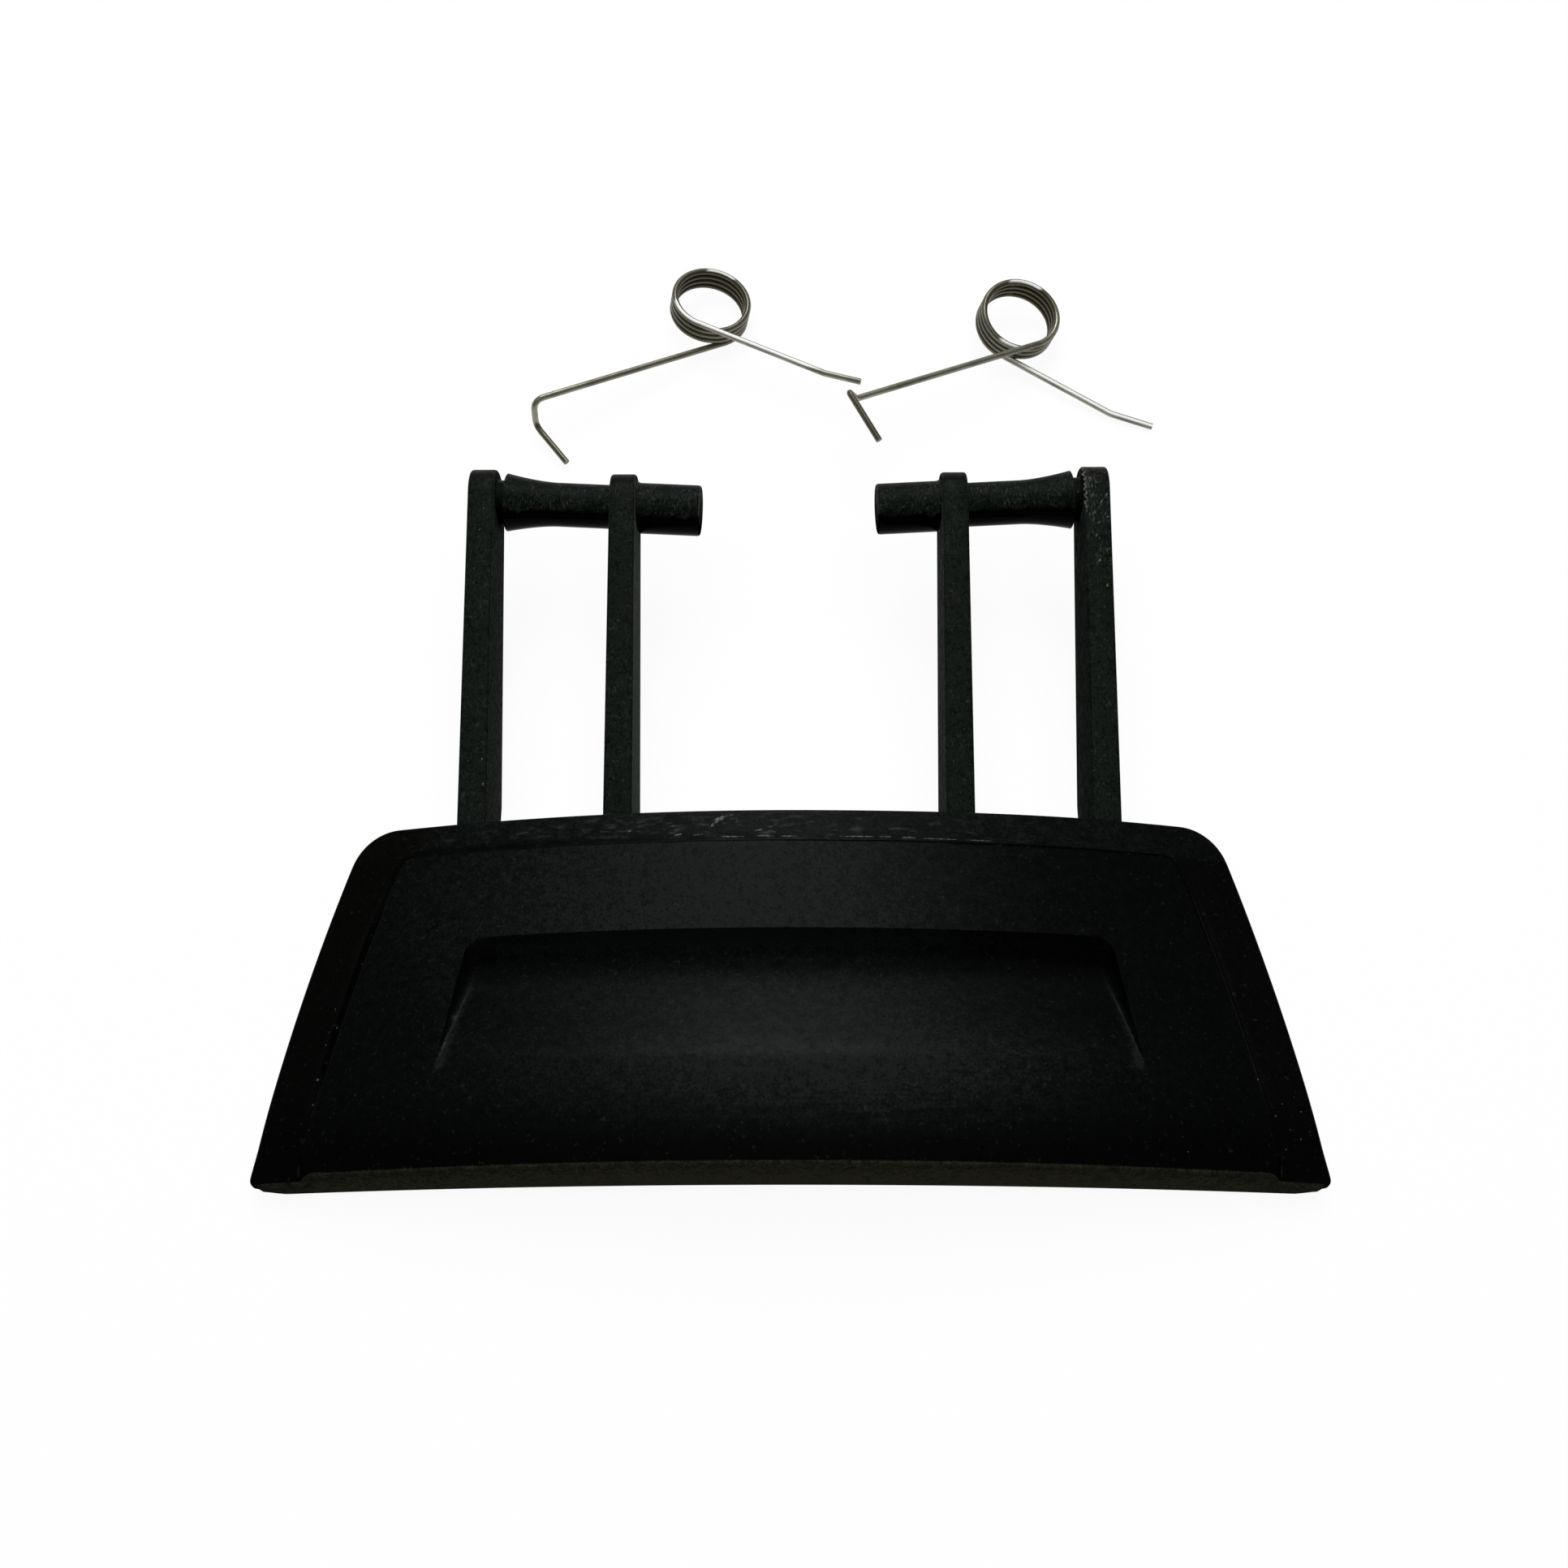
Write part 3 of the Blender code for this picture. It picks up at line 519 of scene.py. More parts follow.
rings += [(flare_start - 0.00002, BARREL_RADIUS), (flare_start, FLARE_RADIUS - 0.00005)]
rings += [(flare_start + 0.00006, FLARE_RADIUS)]
for step in np.linspace(0.06, 1.0, 16):
    flared = (FLARE_RADIUS - BARREL_RADIUS) * (1.0 - step) ** 1.6
    rings.append((flare_start + 0.0072 * step, BARREL_RADIUS + flared))
for along in np.linspace(flare_start + 0.0077, span - 0.0029, 13):
    rings.append((along, BARREL_RADIUS))
rings += [(span - 0.0024, BARREL_RADIUS), (span - 0.0020, BARREL_RADIUS + 0.00005)]
rings += [(span - 0.0018, BARREL_RADIUS + COLLAR), (span, BARREL_RADIUS + COLLAR)]
rings += [(stub_start, STUB_RADIUS + COLLAR), (span + 0.0019, STUB_RADIUS + COLLAR)]
rings += [(span + 0.0021, STUB_RADIUS + 0.00004), (span + 0.0023, STUB_RADIUS)]
rings += [(along, STUB_RADIUS) for along in np.linspace(span + 0.0028, stub_end - 0.0008, 15)]
for bend in np.linspace(0.0, math.pi / 2.0, 6):
    shortened = STUB_CORNER * (1.0 - math.sin(bend))
    rings.append((stub_end - shortened, STUB_RADIUS - STUB_CORNER * (1.0 - math.cos(bend))))
barrels = []
for side in (-1.0, 1.0):
    direction = Vector((-side * math.cos(BARREL_TOE_IN), -math.sin(BARREL_TOE_IN), 0.0))
    start = Vector((side * OUTER_ARM_X, FRONT_Y + HINGE_Y + HEAD_SHIFT[side], HINGE_Z))
    turn = Vector((0.0, 0.0, 1.0)).rotation_difference(direction)
    bpy.ops.mesh.primitive_cylinder_add(
        vertices=64, radius=0.003, depth=stub_end,
        location=start + direction * stub_end / 2.0, rotation=turn.to_euler()
    )
    barrel = bpy.context.object
    barrel.name = "barrel_left" if side < 0.0 else "barrel_right"
    bpy.ops.object.transform_apply(location=True, rotation=True, scale=True)
    bpy.ops.object.mode_set(mode="EDIT")
    for along, radius in rings[1:-1]:
        bpy.ops.mesh.select_all(action="SELECT")
        bpy.ops.mesh.bisect(
            plane_co=start + direction * along, plane_no=direction, threshold=0.000001
        )
    bpy.ops.object.mode_set(mode="OBJECT")
    places = np.array([ring[0] for ring in rings])
    for vertex in barrel.data.vertices:
        offset = vertex.co - start
        along = offset.dot(direction)
        outward = offset - direction * along
        radius = rings[int(np.argmin(np.abs(places - along)))][1]
        vertex.co = start + direction * along + outward.normalized() * radius
    dust_and_painted_light = barrel.data.attributes.new("dust_and_painted_light", "FLOAT", "POINT")
    wear_and_highlight = barrel.data.attributes.new("wear_and_highlight", "FLOAT", "POINT")
    for number, vertex in enumerate(barrel.data.vertices):
        offset = vertex.co - start
        along = offset.dot(direction)
        across = offset - direction * along
        height = math.sin(DUST_AND_LIGHT_LEAN) * across.y + math.cos(DUST_AND_LIGHT_LEAN) * across.z
        ragged = 0.00018 * math.sin(SLOW_WAVE * along)
        ragged = ragged + 0.00012 * math.sin(QUICK_WAVE * along + side)
        # Above the ragged line: dust and painted light, with scratches past the neck.
        upper = 1.0 if height > 0.00030 + ragged else 0.0
        on_neck = along < flare_start - 0.00001
        dust_and_painted_light.data[number].value = upper * (0.28 if on_neck else 0.70)
        wear_and_highlight.data[number].value = upper * (0.0 if on_neck else 0.34)
    bpy.ops.object.shade_smooth_by_angle(angle=math.radians(35.0))
    bpy.ops.object.select_all(action="DESELECT")
    barrels.append(barrel)


# All of these are one shot of black plastic, so they are joined into the handle.
for piece in [plate, rear_wall] + arms + barrels:
    piece.select_set(True)
bpy.context.view_layer.objects.active = plate
bpy.ops.object.join()
handle = bpy.context.object
handle.name = "moulded_handle"
bpy.ops.object.transform_apply(location=True, rotation=True, scale=True)
bpy.ops.object.select_all(action="DESELECT")


# Its plastic, in five finishes: the show face, the rubbed arms, the walls, the walls
# lit with painted reflection of the table, and the barrels' glossy undersides. The film
# (dust and painted light), wear (and a painted highlight), warm, matte and streaked
# shares come from the shapes above.
def black_plastic(
    name, specular, roughness, dust_light_cool, dust_light_warm, mottling, edge_highlight_gain, flecking, scratch_scale
):
    """Near black plastic under a thin grey film of dust and painted light: fine grain, mottling,
    flecks and scratches.
    """
    plastic = bpy.data.materials.new(name)
    plastic.use_nodes = True
    nodes = plastic.node_tree.nodes
    links = plastic.node_tree.links
    shader = nodes["Principled BSDF"]
    shader.inputs["Specular IOR Level"].default_value = specular
    place = nodes.new("ShaderNodeTexCoord").outputs["Object"]

    def noise(scale, detail, stretch=(1.0, 1.0, 1.0)):
        mapping = nodes.new("ShaderNodeMapping")
        mapping.inputs["Scale"].default_value = stretch
        links.new(place, mapping.inputs["Vector"])
        texture = nodes.new("ShaderNodeTexNoise")
        texture.inputs["Scale"].default_value = scale
        texture.inputs["Detail"].default_value = detail
        links.new(mapping.outputs["Vector"], texture.inputs["Vector"])
        return texture.outputs["Fac"]

    def ranged(value, low, high, to_low, to_high):
        node = nodes.new("ShaderNodeMapRange")
        limits = {"From Min": low, "From Max": high, "To Min": to_low, "To Max": to_high}
        for socket, amount in limits.items():
            node.inputs[socket].default_value = amount
        links.new(value, node.inputs["Value"])
        return node.outputs["Result"]

    def combined(operation, first, second):
        node = nodes.new("ShaderNodeMath")
        node.operation = operation
        for socket, value in zip(node.inputs, (first, second)):
            if isinstance(value, float):
                socket.default_value = value
            else:
                links.new(value, socket)
        return node.outputs["Value"]

    def blended(share, first, second):
        node = nodes.new("ShaderNodeMix")
        node.data_type = "RGBA"
        links.new(share, node.inputs["Factor"])
        for socket, colour in ((node.inputs[6], first), (node.inputs[7], second)):
            if isinstance(colour, tuple):
                socket.default_value = (*colour, 1.0)
            else:
                links.new(colour, socket)
        return node.outputs[2]

    def painted(label):
        attribute = nodes.new("ShaderNodeAttribute")
        attribute.attribute_name = label
        return attribute.outputs["Fac"]

    mottle = ranged(noise(950.0, 4.0), 0.3, 0.7, 1.0 - mottling, 1.0 + mottling)
    speckle = ranged(noise(3000.0, 3.0), 0.3, 0.7, 1.0 - 1.4 * mottling, 1.0 + 1.4 * mottling)
    dust_and_painted_light = combined("MULTIPLY", combined("MULTIPLY", painted("dust_and_painted_light"), mottle), speckle)
    streaks = ranged(noise(1.0, 3.0, (110.0, 1300.0, 1300.0)), 0.36, 0.64, -0.5, 0.35)
    streaking = combined("MULTIPLY", streaks, painted("streaked"))
    dust_and_painted_light = combined("MULTIPLY", dust_and_painted_light, combined("ADD", streaking, 1.0))
    # Painted highlights: faces and broken edges turned to the sides are lighter.
    if edge_highlight_gain > 0.0:
        normal = nodes.new("ShaderNodeSeparateXYZ")
        links.new(nodes.new("ShaderNodeNewGeometry").outputs["Normal"], normal.inputs["Vector"])
        sideways = combined("ABSOLUTE", normal.outputs["X"], 0.0)
        dust_and_painted_light = combined("MULTIPLY", dust_and_painted_light, ranged(sideways, 0.25, 0.55, 1.0, 1.0 + edge_highlight_gain))
        patches = ranged(noise(170.0, 3.0), 0.56, 0.68, 0.0, 0.5)
        dust_light_colour = blended(combined("MAXIMUM", patches, painted("warm")), dust_light_cool, dust_light_warm)
    else:
        dust_light_colour = blended(painted("warm"), dust_light_cool, dust_light_warm)
    tone = blended(dust_and_painted_light, (0.0006, 0.0008, 0.0007), dust_light_colour)
    flecks = ranged(noise(1500.0, 3.0), 0.64, 0.72, 0.0, flecking)
    tone = blended(flecks, tone, (0.040, 0.044, 0.040))
    scratches = ranged(noise(1.0, 5.0, scratch_scale), 0.52, 0.68, 0.0, 1.0)
    broken_up = ranged(noise(330.0, 3.0), 0.40, 0.62, 0.05, 1.0)
    scratches = combined("MULTIPLY", scratches, broken_up)
    tone = blended(combined("MULTIPLY", scratches, painted("wear_and_highlight")), tone, (0.085, 0.090, 0.082))
    links.new(tone, shader.inputs["Base Color"])
    varied = ranged(noise(900.0, 3.0), 0.3, 0.7, roughness - 0.06, roughness + 0.06)
    dulled = combined("MULTIPLY", painted("matte"), 0.32)
    links.new(combined("ADD", varied, dulled), shader.inputs["Roughness"])
    grain = nodes.new("ShaderNodeBump")
    grain.inputs["Strength"].default_value = 0.6
    grain.inputs["Distance"].default_value = 0.000012
    links.new(noise(3600.0, 2.0), grain.inputs["Height"])
    links.new(grain.outputs["Normal"], shader.inputs["Normal"])
    return plastic


show_face = black_plastic(
    "grained_black_plastic", specular=0.055, roughness=0.40,
    dust_light_cool=(0.0070, 0.0090, 0.0079), dust_light_warm=(0.0040, 0.0034, 0.0022),
    mottling=0.50, edge_highlight_gain=0.0, flecking=0.12, scratch_scale=(500.0, 1700.0, 1700.0)
)
rubbed_arms = black_plastic(
    "rubbed_black_plastic", specular=0.05, roughness=0.50,
    dust_light_cool=(0.0052, 0.0084, 0.0060), dust_light_warm=(0.0086, 0.0080, 0.0068),
    mottling=0.60, edge_highlight_gain=1.2, flecking=0.4, scratch_scale=(4200.0, 1500.0, 1500.0)
)
mould_walls = black_plastic(
    "moulded_black_walls", specular=0.0, roughness=0.80,
    dust_light_cool=(0.0100, 0.0116, 0.0100), dust_light_warm=(0.0060, 0.0056, 0.0040),
    mottling=0.40, edge_highlight_gain=0.0, flecking=0.15, scratch_scale=(500.0, 500.0, 500.0)
)
# The lip's face and the arms' side walls: a much lighter copy of the wall plastic, painted with the
# table's reflected light.
table_lit_walls = black_plastic(
    "table_lit_black_walls", specular=0.0, roughness=0.80,
    dust_light_cool=(0.0600, 0.0690, 0.0620), dust_light_warm=(0.0270, 0.0262, 0.0185),
    mottling=0.40, edge_highlight_gain=0.0, flecking=0.15, scratch_scale=(500.0, 500.0, 500.0)
)
barrel_undersides = black_plastic(
    "glossy_black_undersides", specular=0.015, roughness=0.12,
    dust_light_cool=(0.0050, 0.0058, 0.0048), dust_light_warm=(0.0050, 0.0058, 0.0048),
    mottling=0.25, edge_highlight_gain=0.0, flecking=0.0, scratch_scale=(500.0, 500.0, 500.0)
)
handle.data.materials.clear()
SHOW_FACE, RUBBED, WALL, GLOSSY, TABLE_LIT = range(5)
for plastic in (show_face, rubbed_arms, mould_walls, barrel_undersides, table_lit_walls):
    handle.data.materials.append(plastic)
centres = np.array([face.center for face in handle.data.polygons])
facing = np.array([face.normal for face in handle.data.polygons])
plate_y = centres[:, 1] - FRONT_Y
in_scoop = (np.abs(centres[:, 0]) < 0.0465) & (plate_y > 0.012) & (plate_y < 0.031)
in_scoop = in_scoop & (centres[:, 2] > 0.008)
on_plate = plate_y < DEPTH + 0.0001
from_pad = inside_distance(centres[:, 0], plate_y, pad_half, 0.0, PAD_REAR)
on_step = (from_pad > -0.00034) & (from_pad < 0.00026) & (plate_y < PAD_REAR + 0.001)
rim_end = (np.abs(centres[:, 0]) > 0.0598) & (plate_y > -0.0006) & (facing[:, 2] > 0.6)
show = on_plate & ((facing[:, 2] > 0.30) | in_scoop) & ((plate_y > 0.0006) | rim_end) & ~on_step
sideways, lengthways, upright = np.abs(facing).T
on_barrel = (plate_y > 0.0885) & (sideways < 0.6) & (upright + lengthways > 0.5)
tilted = math.sin(DUST_AND_LIGHT_LEAN) * facing[:, 1] + math.cos(DUST_AND_LIGHT_LEAN) * facing[:, 2]
choice = np.where(show, SHOW_FACE, WALL)
# The arms' side walls and the lip's face take the copy painted with the table's reflected light.
choice = np.where(~on_plate & (sideways > 0.8) & (centres[:, 2] > 0.004), TABLE_LIT, choice)
choice = np.where((plate_y < 0.0006) & (facing[:, 1] < -0.3), TABLE_LIT, choice)
choice = np.where(~on_plate & (facing[:, 2] > 0.45), RUBBED, choice)
# The barrels' upper sides take the rubbed finish with its dust and painted light, their lower sides
# the dark glossy one.
ragged = 0.10 + 0.05 * np.sin(SLOW_WAVE * centres[:, 0]) + 0.04 * np.sin(QUICK_WAVE * centres[:, 0])
choice = np.where(on_barrel & (tilted > ragged), RUBBED, choice)
choice = np.where(on_barrel & (tilted <= ragged), GLOSSY, choice)
handle.data.polygons.foreach_set("material_index", choice.astype(np.int32))
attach(handle, "root")
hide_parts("handle")


# Small rubbed marks, dust specks and a scraped burr on the moulding's skin: thin
# grey ovals laid on the surface where the handle shows them. Each is a sphere
# pressed flat and bent to the surface below it. A mark is its place across and
# along the handle, its length and width in millimetres, and its turn in degrees.
def skin_height(x, y):
    """The height of the plate's skin, or behind it of an arm's upper edge."""
    plate = top_height(x, np.minimum(y, DEPTH))
    slope = ARM_ROOT_TOP + (y - DEPTH) * math.tan(ARM_RISE)
    from_hinge = y - HINGE_Y - HEAD_SHIFT[1.0]
    head = HINGE_Z + np.sqrt(np.maximum(HEAD_RADIUS ** 2 - from_hinge ** 2, 0.0))
    arm = np.where(y < HINGE_Y - HEAD_RADIUS * math.sin(ARM_RISE), slope, head)
    return np.where(y < DEPTH, plate, arm)


marks = [
    (-7.4, 42.45, 3.4, 0.20, 0), (-3.1, 42.5, 2.7, 0.24, 0), (0.0, 42.45, 2.1, 0.18, 0),
    (8.8, 42.45, 5.0, 0.18, 0), (12.6, 42.5, 1.6, 0.16, 0), (15.7, 42.45, 2.0, 0.20, 0),
    (19.8, 42.4, 5.0, 0.16, 0), (25.0, 42.4, 3.2, 0.14, 0), (-9.6, 44.6, 1.9, 0.55, 50),
    (-8.2, 45.35, 1.9, 0.30, 14), (-9.0, 45.0, 1.4, 0.60, 32), (-21.0, 43.6, 0.5, 0.2, 20),
    (-4.0, 43.3, 1.3, 0.22, 8), (-2.2, 43.1, 1.0, 0.2, -10), (-12.0, 42.8, 1.6, 0.2, 5),
    (-14.5, 42.9, 1.1, 0.2, 12), (-56.06, 27.59, 0.26, 0.2, 0), (-58.51, 19.25, 0.3, 0.2, 60),
    (-59.35, 14.62, 0.24, 0.2, 0), (-60.18, 12.47, 0.36, 0.24, 70), (-60.4, 9.26, 0.3, 0.2, 80),
    (-60.97, 3.17, 0.3, 0.24, 20), (60.25, 20.14, 0.24, 0.2, 0), (59.49, 12.34, 0.3, 0.2, 40),
    (61.29, 7.8, 0.3, 0.24, 0), (62.13, 3.69, 0.26, 0.2, 0), (59.19, 1.62, 0.2, 0.14, 0),
    (62.84, 1.82, 0.28, 0.18, 0), (44.71, 0.93, 0.24, 0.16, 0), (48.85, 2.58, 0.2, 0.14, 30),
    (48.32, 4.34, 0.18, 0.12, 0), (63.6, 3.2, 0.2, 0.12, 10), (64.4, 5.1, 0.24, 0.14, 80),
    (64.9, 8.6, 0.2, 0.16, 30), (63.1, 6.2, 0.16, 0.12, 0), (64.2, 10.4, 0.26, 0.1, 75),
    (63.4, 12.9, 0.2, 0.14, 20), (65.3, 2.4, 0.2, 0.14, 50), (62.4, 9.4, 0.18, 0.12, 0),
    (-60.3, 5.9, 0.2, 0.16, 15), (-59.9, 10.8, 0.22, 0.12, 80), (-59.6, 16.9, 0.24, 0.12, 78),
    (-58.9, 21.6, 0.2, 0.12, 70), (-41.63, 55.05, 0.4, 0.22, 80), (-41.38, 51.65, 0.5, 0.2, 85),
    (-23.76, 83.55, 0.6, 0.26, 85), (-24.06, 67.05, 0.5, 0.3, 60), (-43.86, 81.63, 0.24, 0.14, 30),
    (-44.02, 74.71, 0.34, 0.26, 70), (-43.3, 87.2, 0.4, 0.12, 70), (-42.9, 90.3, 0.24, 0.14, 80),
    (43.3, 82.56, 0.5, 0.3, 60), (44.6, 91.89, 0.9, 0.24, 62), (43.9, 90.9, 0.8, 0.26, 66),
    (43.4, 88.0, 0.6, 0.3, 40), (44.7, 88.8, 0.4, 0.3, 20), (42.8, 95.2, 1.2, 0.07, -8),
    (43.9, 95.1, 1.0, 0.07, 12), (44.7, 95.7, 1.3, 0.07, 55), (42.6, 94.4, 0.9, 0.08, 60),
    (44.2, 79.0, 0.5, 0.26, 80), (23.9, 88.5, 0.4, 0.24, 70), (23.2, 72.0, 0.5, 0.22, 85),
    (24.3, 60.5, 0.3, 0.24, 0),
]
for number in range(16):
    wander = math.sin(number * 2.4) * 0.10 + math.sin(number * 5.1) * 0.06
    width = 0.24 + 0.08 * math.sin(number * 1.7)
    turn = 90 + 40 * math.sin(number * 3.3)
    marks.append((41.8 + wander, 89.9 + 0.44 * number, 0.85, width, turn))
HALF_MILLIMETRE = 0.0005
MARK_THICKNESS = 0.00003
for mark_x, mark_y, length, width, turn in marks:
    bpy.ops.mesh.primitive_uv_sphere_add(segments=16, ring_count=8, radius=1.0)
    oval = bpy.context.object
    round_spots = np.array([vertex.co for vertex in oval.data.vertices])
    ragged = 1.0 + 0.25 * np.sin(5.0 * round_spots[:, 0] + 11.0 * round_spots[:, 1] + mark_x)
    along = round_spots[:, 0] * length * HALF_MILLIMETRE
    across = round_spots[:, 1] * width * HALF_MILLIMETRE * ragged
    heading = math.radians(turn)
    x = mark_x * 0.001 + along * math.cos(heading) - across * math.sin(heading)
    y = mark_y * 0.001 + along * math.sin(heading) + across * math.cos(heading)
    z = skin_height(x, y) + round_spots[:, 2] * MARK_THICKNESS
    laid = np.stack([x, FRONT_Y + y, z], axis=1)
    oval.data.vertices.foreach_set("co", laid.ravel())
    oval.data.update()
    bpy.ops.object.select_all(action="DESELECT")
ovals = [piece for piece in bpy.data.objects if piece.name.startswith("Sphere")]
for oval in ovals:
    oval.select_set(True)
bpy.context.view_layer.objects.active = ovals[0]
bpy.ops.object.join()
rubbed_marks = bpy.context.object
rubbed_marks.name = "rubbed_marks"
bpy.ops.object.shade_smooth()
bpy.ops.object.select_all(action="DESELECT")
grey = bpy.data.materials.new("rubbed_grey_plastic")
grey.use_nodes = True
nodes = grey.node_tree.nodes
links = grey.node_tree.links
shader = nodes["Principled BSDF"]
shader.inputs["Specular IOR Level"].default_value = 0.05
shader.inputs["Roughness"].default_value = 0.6
place = nodes.new("ShaderNodeTexCoord")
rubbing = nodes.new("ShaderNodeTexNoise")
rubbing.inputs["Scale"].default_value = 2200.0
links.new(place.outputs["Object"], rubbing.inputs["Vector"])
patchy = nodes.new("ShaderNodeMapRange")
patchy.inputs["From Min"].default_value = 0.40
patchy.inputs["From Max"].default_value = 0.62
links.new(rubbing.outputs["Fac"], patchy.inputs["Value"])
pale = nodes.new("ShaderNodeMix")
pale.data_type = "RGBA"
pale.inputs[6].default_value = (0.022, 0.023, 0.021, 1.0)
pale.inputs[7].default_value = (0.110, 0.112, 0.100, 1.0)
links.new(patchy.outputs["Result"], pale.inputs["Factor"])
links.new(pale.outputs[2], shader.inputs["Base Color"])
rubbed_marks.data.materials.append(grey)
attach(rubbed_marks, "root")


# The two torsion springs: 1 mm round steel wire, wound in nearly four turns,
# with a long leg bent up into a hook and a short leg kinked near its end. They
# are mirror images, and lie loose on the table as they were taken off.
WIRE_RADIUS = 0.0005
COIL_RADIUS = 0.00605
COIL_PITCH = 0.00104
COIL_TURNS = math.radians(1386.0)
HIGHLIGHT_UP = 0.966
HIGHLIGHT_FORWARD = 0.26
HOOK_POINTS = 6


def bent(corners, radius):
    """A wire's centre line with its corners rounded."""
    path = [corners[0]]
    for before, corner, after in zip(corners, corners[1:], corners[2:]):
        back = (before - corner).normalized()
        ahead = (after - corner).normalized()
        half = back.angle(ahead) / 2.0
        shorter = min((before - corner).length, (after - corner).length)
        reach = min(radius / math.tan(half), 0.45 * shorter)
        for t in np.linspace(0.0, 1.0, 9):
            path.append(corner + back * reach * (1.0 - t) ** 2 + ahead * reach * t ** 2)
    path.append(corners[-1])
    return path


def wind_spring(
    name, hand, place, turn, lean_x, lean_y, upside_down,
    leg_turn, hook_leg, post_length, post_lean, post_out, hook_turn, hook_length, bend,
    lift, short_leg, kink_turn, short_end, streaks
):
    """One spring: its coil, its long leg with post and hook, and its short kinked leg.

    Turns, leans and the lift are in degrees, lengths in metres. A painted highlight
    along the wire's upper side is given by the degrees round the wire's coil where it starts and
    ends."""
    height = COIL_PITCH * COIL_TURNS / (2.0 * math.pi)
    coil = []
    for t in np.linspace(0.0, 1.0, 186):
        angle = COIL_TURNS * t
        spot = (COIL_RADIUS * math.cos(angle), COIL_RADIUS * math.sin(angle), height * (1.0 - t))
        coil.append(Vector(spot))
    up = Vector((0.0, 0.0, 1.0))
    leg = Matrix.Rotation(math.radians(leg_turn), 3, "Z") @ Vector((0.0, -1.0, 0.0))
    sideways = up.cross(leg)
    post = up * math.cos(math.radians(post_lean)) + sideways * math.sin(math.radians(post_lean))
    post = post * math.cos(math.radians(post_out)) + leg * math.sin(math.radians(post_out))
    hook = Matrix.Rotation(math.radians(hook_turn), 3, "Z") @ leg
    corner = coil[0] + leg * hook_leg
    tip = corner + post * post_length
    path = bent([tip + hook * hook_length, tip, corner, coil[0]], bend)[:-1] + coil
    tangent = Vector((-math.sin(COIL_TURNS), math.cos(COIL_TURNS), 0.0))
    lifted = tangent * math.cos(math.radians(lift)) + up * math.sin(math.radians(lift))
    kink = coil[-1] + lifted * short_leg
    end = kink + (Matrix.Rotation(math.radians(kink_turn), 3, "Z") @ lifted) * short_end
    short_leg_line = [coil[-1] + (kink - coil[-1]) * t for t in np.linspace(0.0, 0.85, 18)]
    short_leg_line += bent([short_leg_line[-1], kink, end], 0.0030)[1:]
    path += short_leg_line[1:]
    short_points = len(short_leg_line) - 1
    pose = Matrix.Rotation(math.radians(lean_y), 3, "Y")
    pose = pose @ Matrix.Rotation(math.radians(lean_x), 3, "X")
    pose = pose @ Matrix.Rotation(math.radians(turn), 3, "Z")
    if upside_down:
        pose = pose @ Matrix.Rotation(math.pi, 3, "X")
    pose = pose @ Matrix.Diagonal((hand, 1.0, 1.0))
    wire = bpy.data.curves.new(name, "CURVE")
    wire.dimensions = "3D"
    line = wire.splines.new("POLY")
    line.points.add(len(path) - 1)
    for point, spot in zip(line.points, path):
        point.co = (*(pose @ spot + Vector(place)), 1.0)
    wire.bevel_depth = WIRE_RADIUS
    wire.bevel_resolution = 4
    wire.use_fill_caps = True
    spring = bpy.data.objects.new(name, wire)
    bpy.context.scene.collection.objects.link(spring)
    spring.select_set(True)
    bpy.context.view_layer.objects.active = spring
    bpy.ops.object.convert(target="MESH")
    spring = bpy.context.object
    bpy.ops.object.shade_smooth_by_angle(angle=math.radians(50.0))
    bpy.ops.object.select_all(action="DESELECT")
    unpose = pose.inverted()
    spots = np.array([vertex.co for vertex in spring.data.vertices])
    centre_line = np.array([pose @ spot + Vector(place) for spot in path])
    squared = ((spots[:, None, :] - centre_line[None, :, :]) ** 2).sum(axis=2)
    nearest = np.argmin(squared, axis=1)
    outward = (spots - centre_line[nearest]) / WIRE_RADIUS
    # The painted highlights lie on the side of the wire that faces up and a little to the front.
    highlight_side = outward[:, 2] * HIGHLIGHT_UP - outward[:, 1] * HIGHLIGHT_FORWARD
    topside = np.clip((highlight_side - 0.84) / 0.10, 0.0, 1.0)
    coil_start = len(path) - len(coil) - short_points
    degrees = (nearest - coil_start) / (len(coil) - 1.0) * math.degrees(COIL_TURNS)
    streaked = np.zeros(len(spots))
    for start, end in streaks:
        streaked = np.maximum(streaked, ((degrees > start) & (degrees < end)) * 1.0)
    painted_highlight = spring.data.attributes.new("painted_highlight", "FLOAT", "POINT")
    painted_highlight.data.foreach_set("value", streaked * topside)
    # Painted shade in the coil, darkest on its inner side; the hook is browner.
    inner = spring.data.attributes.new("coil_shade_and_hook", "FLOAT", "POINT")
    for number, vertex in enumerate(spring.data.vertices):
        spot = unpose @ (vertex.co - Vector(place))
        reach = math.hypot(spot.x, spot.y)
        in_coil = reach < COIL_RADIUS + WIRE_RADIUS and -0.0004 < spot.z < height + 0.0002
        in_hook = 0.7 if nearest[number] < HOOK_POINTS else 0.0
        coil_shading = min(max((COIL_RADIUS + 0.0001 - reach) / 0.0004, 0.6), 1.0)
        inner.data[number].value = coil_shading if in_coil else in_hook
    return spring


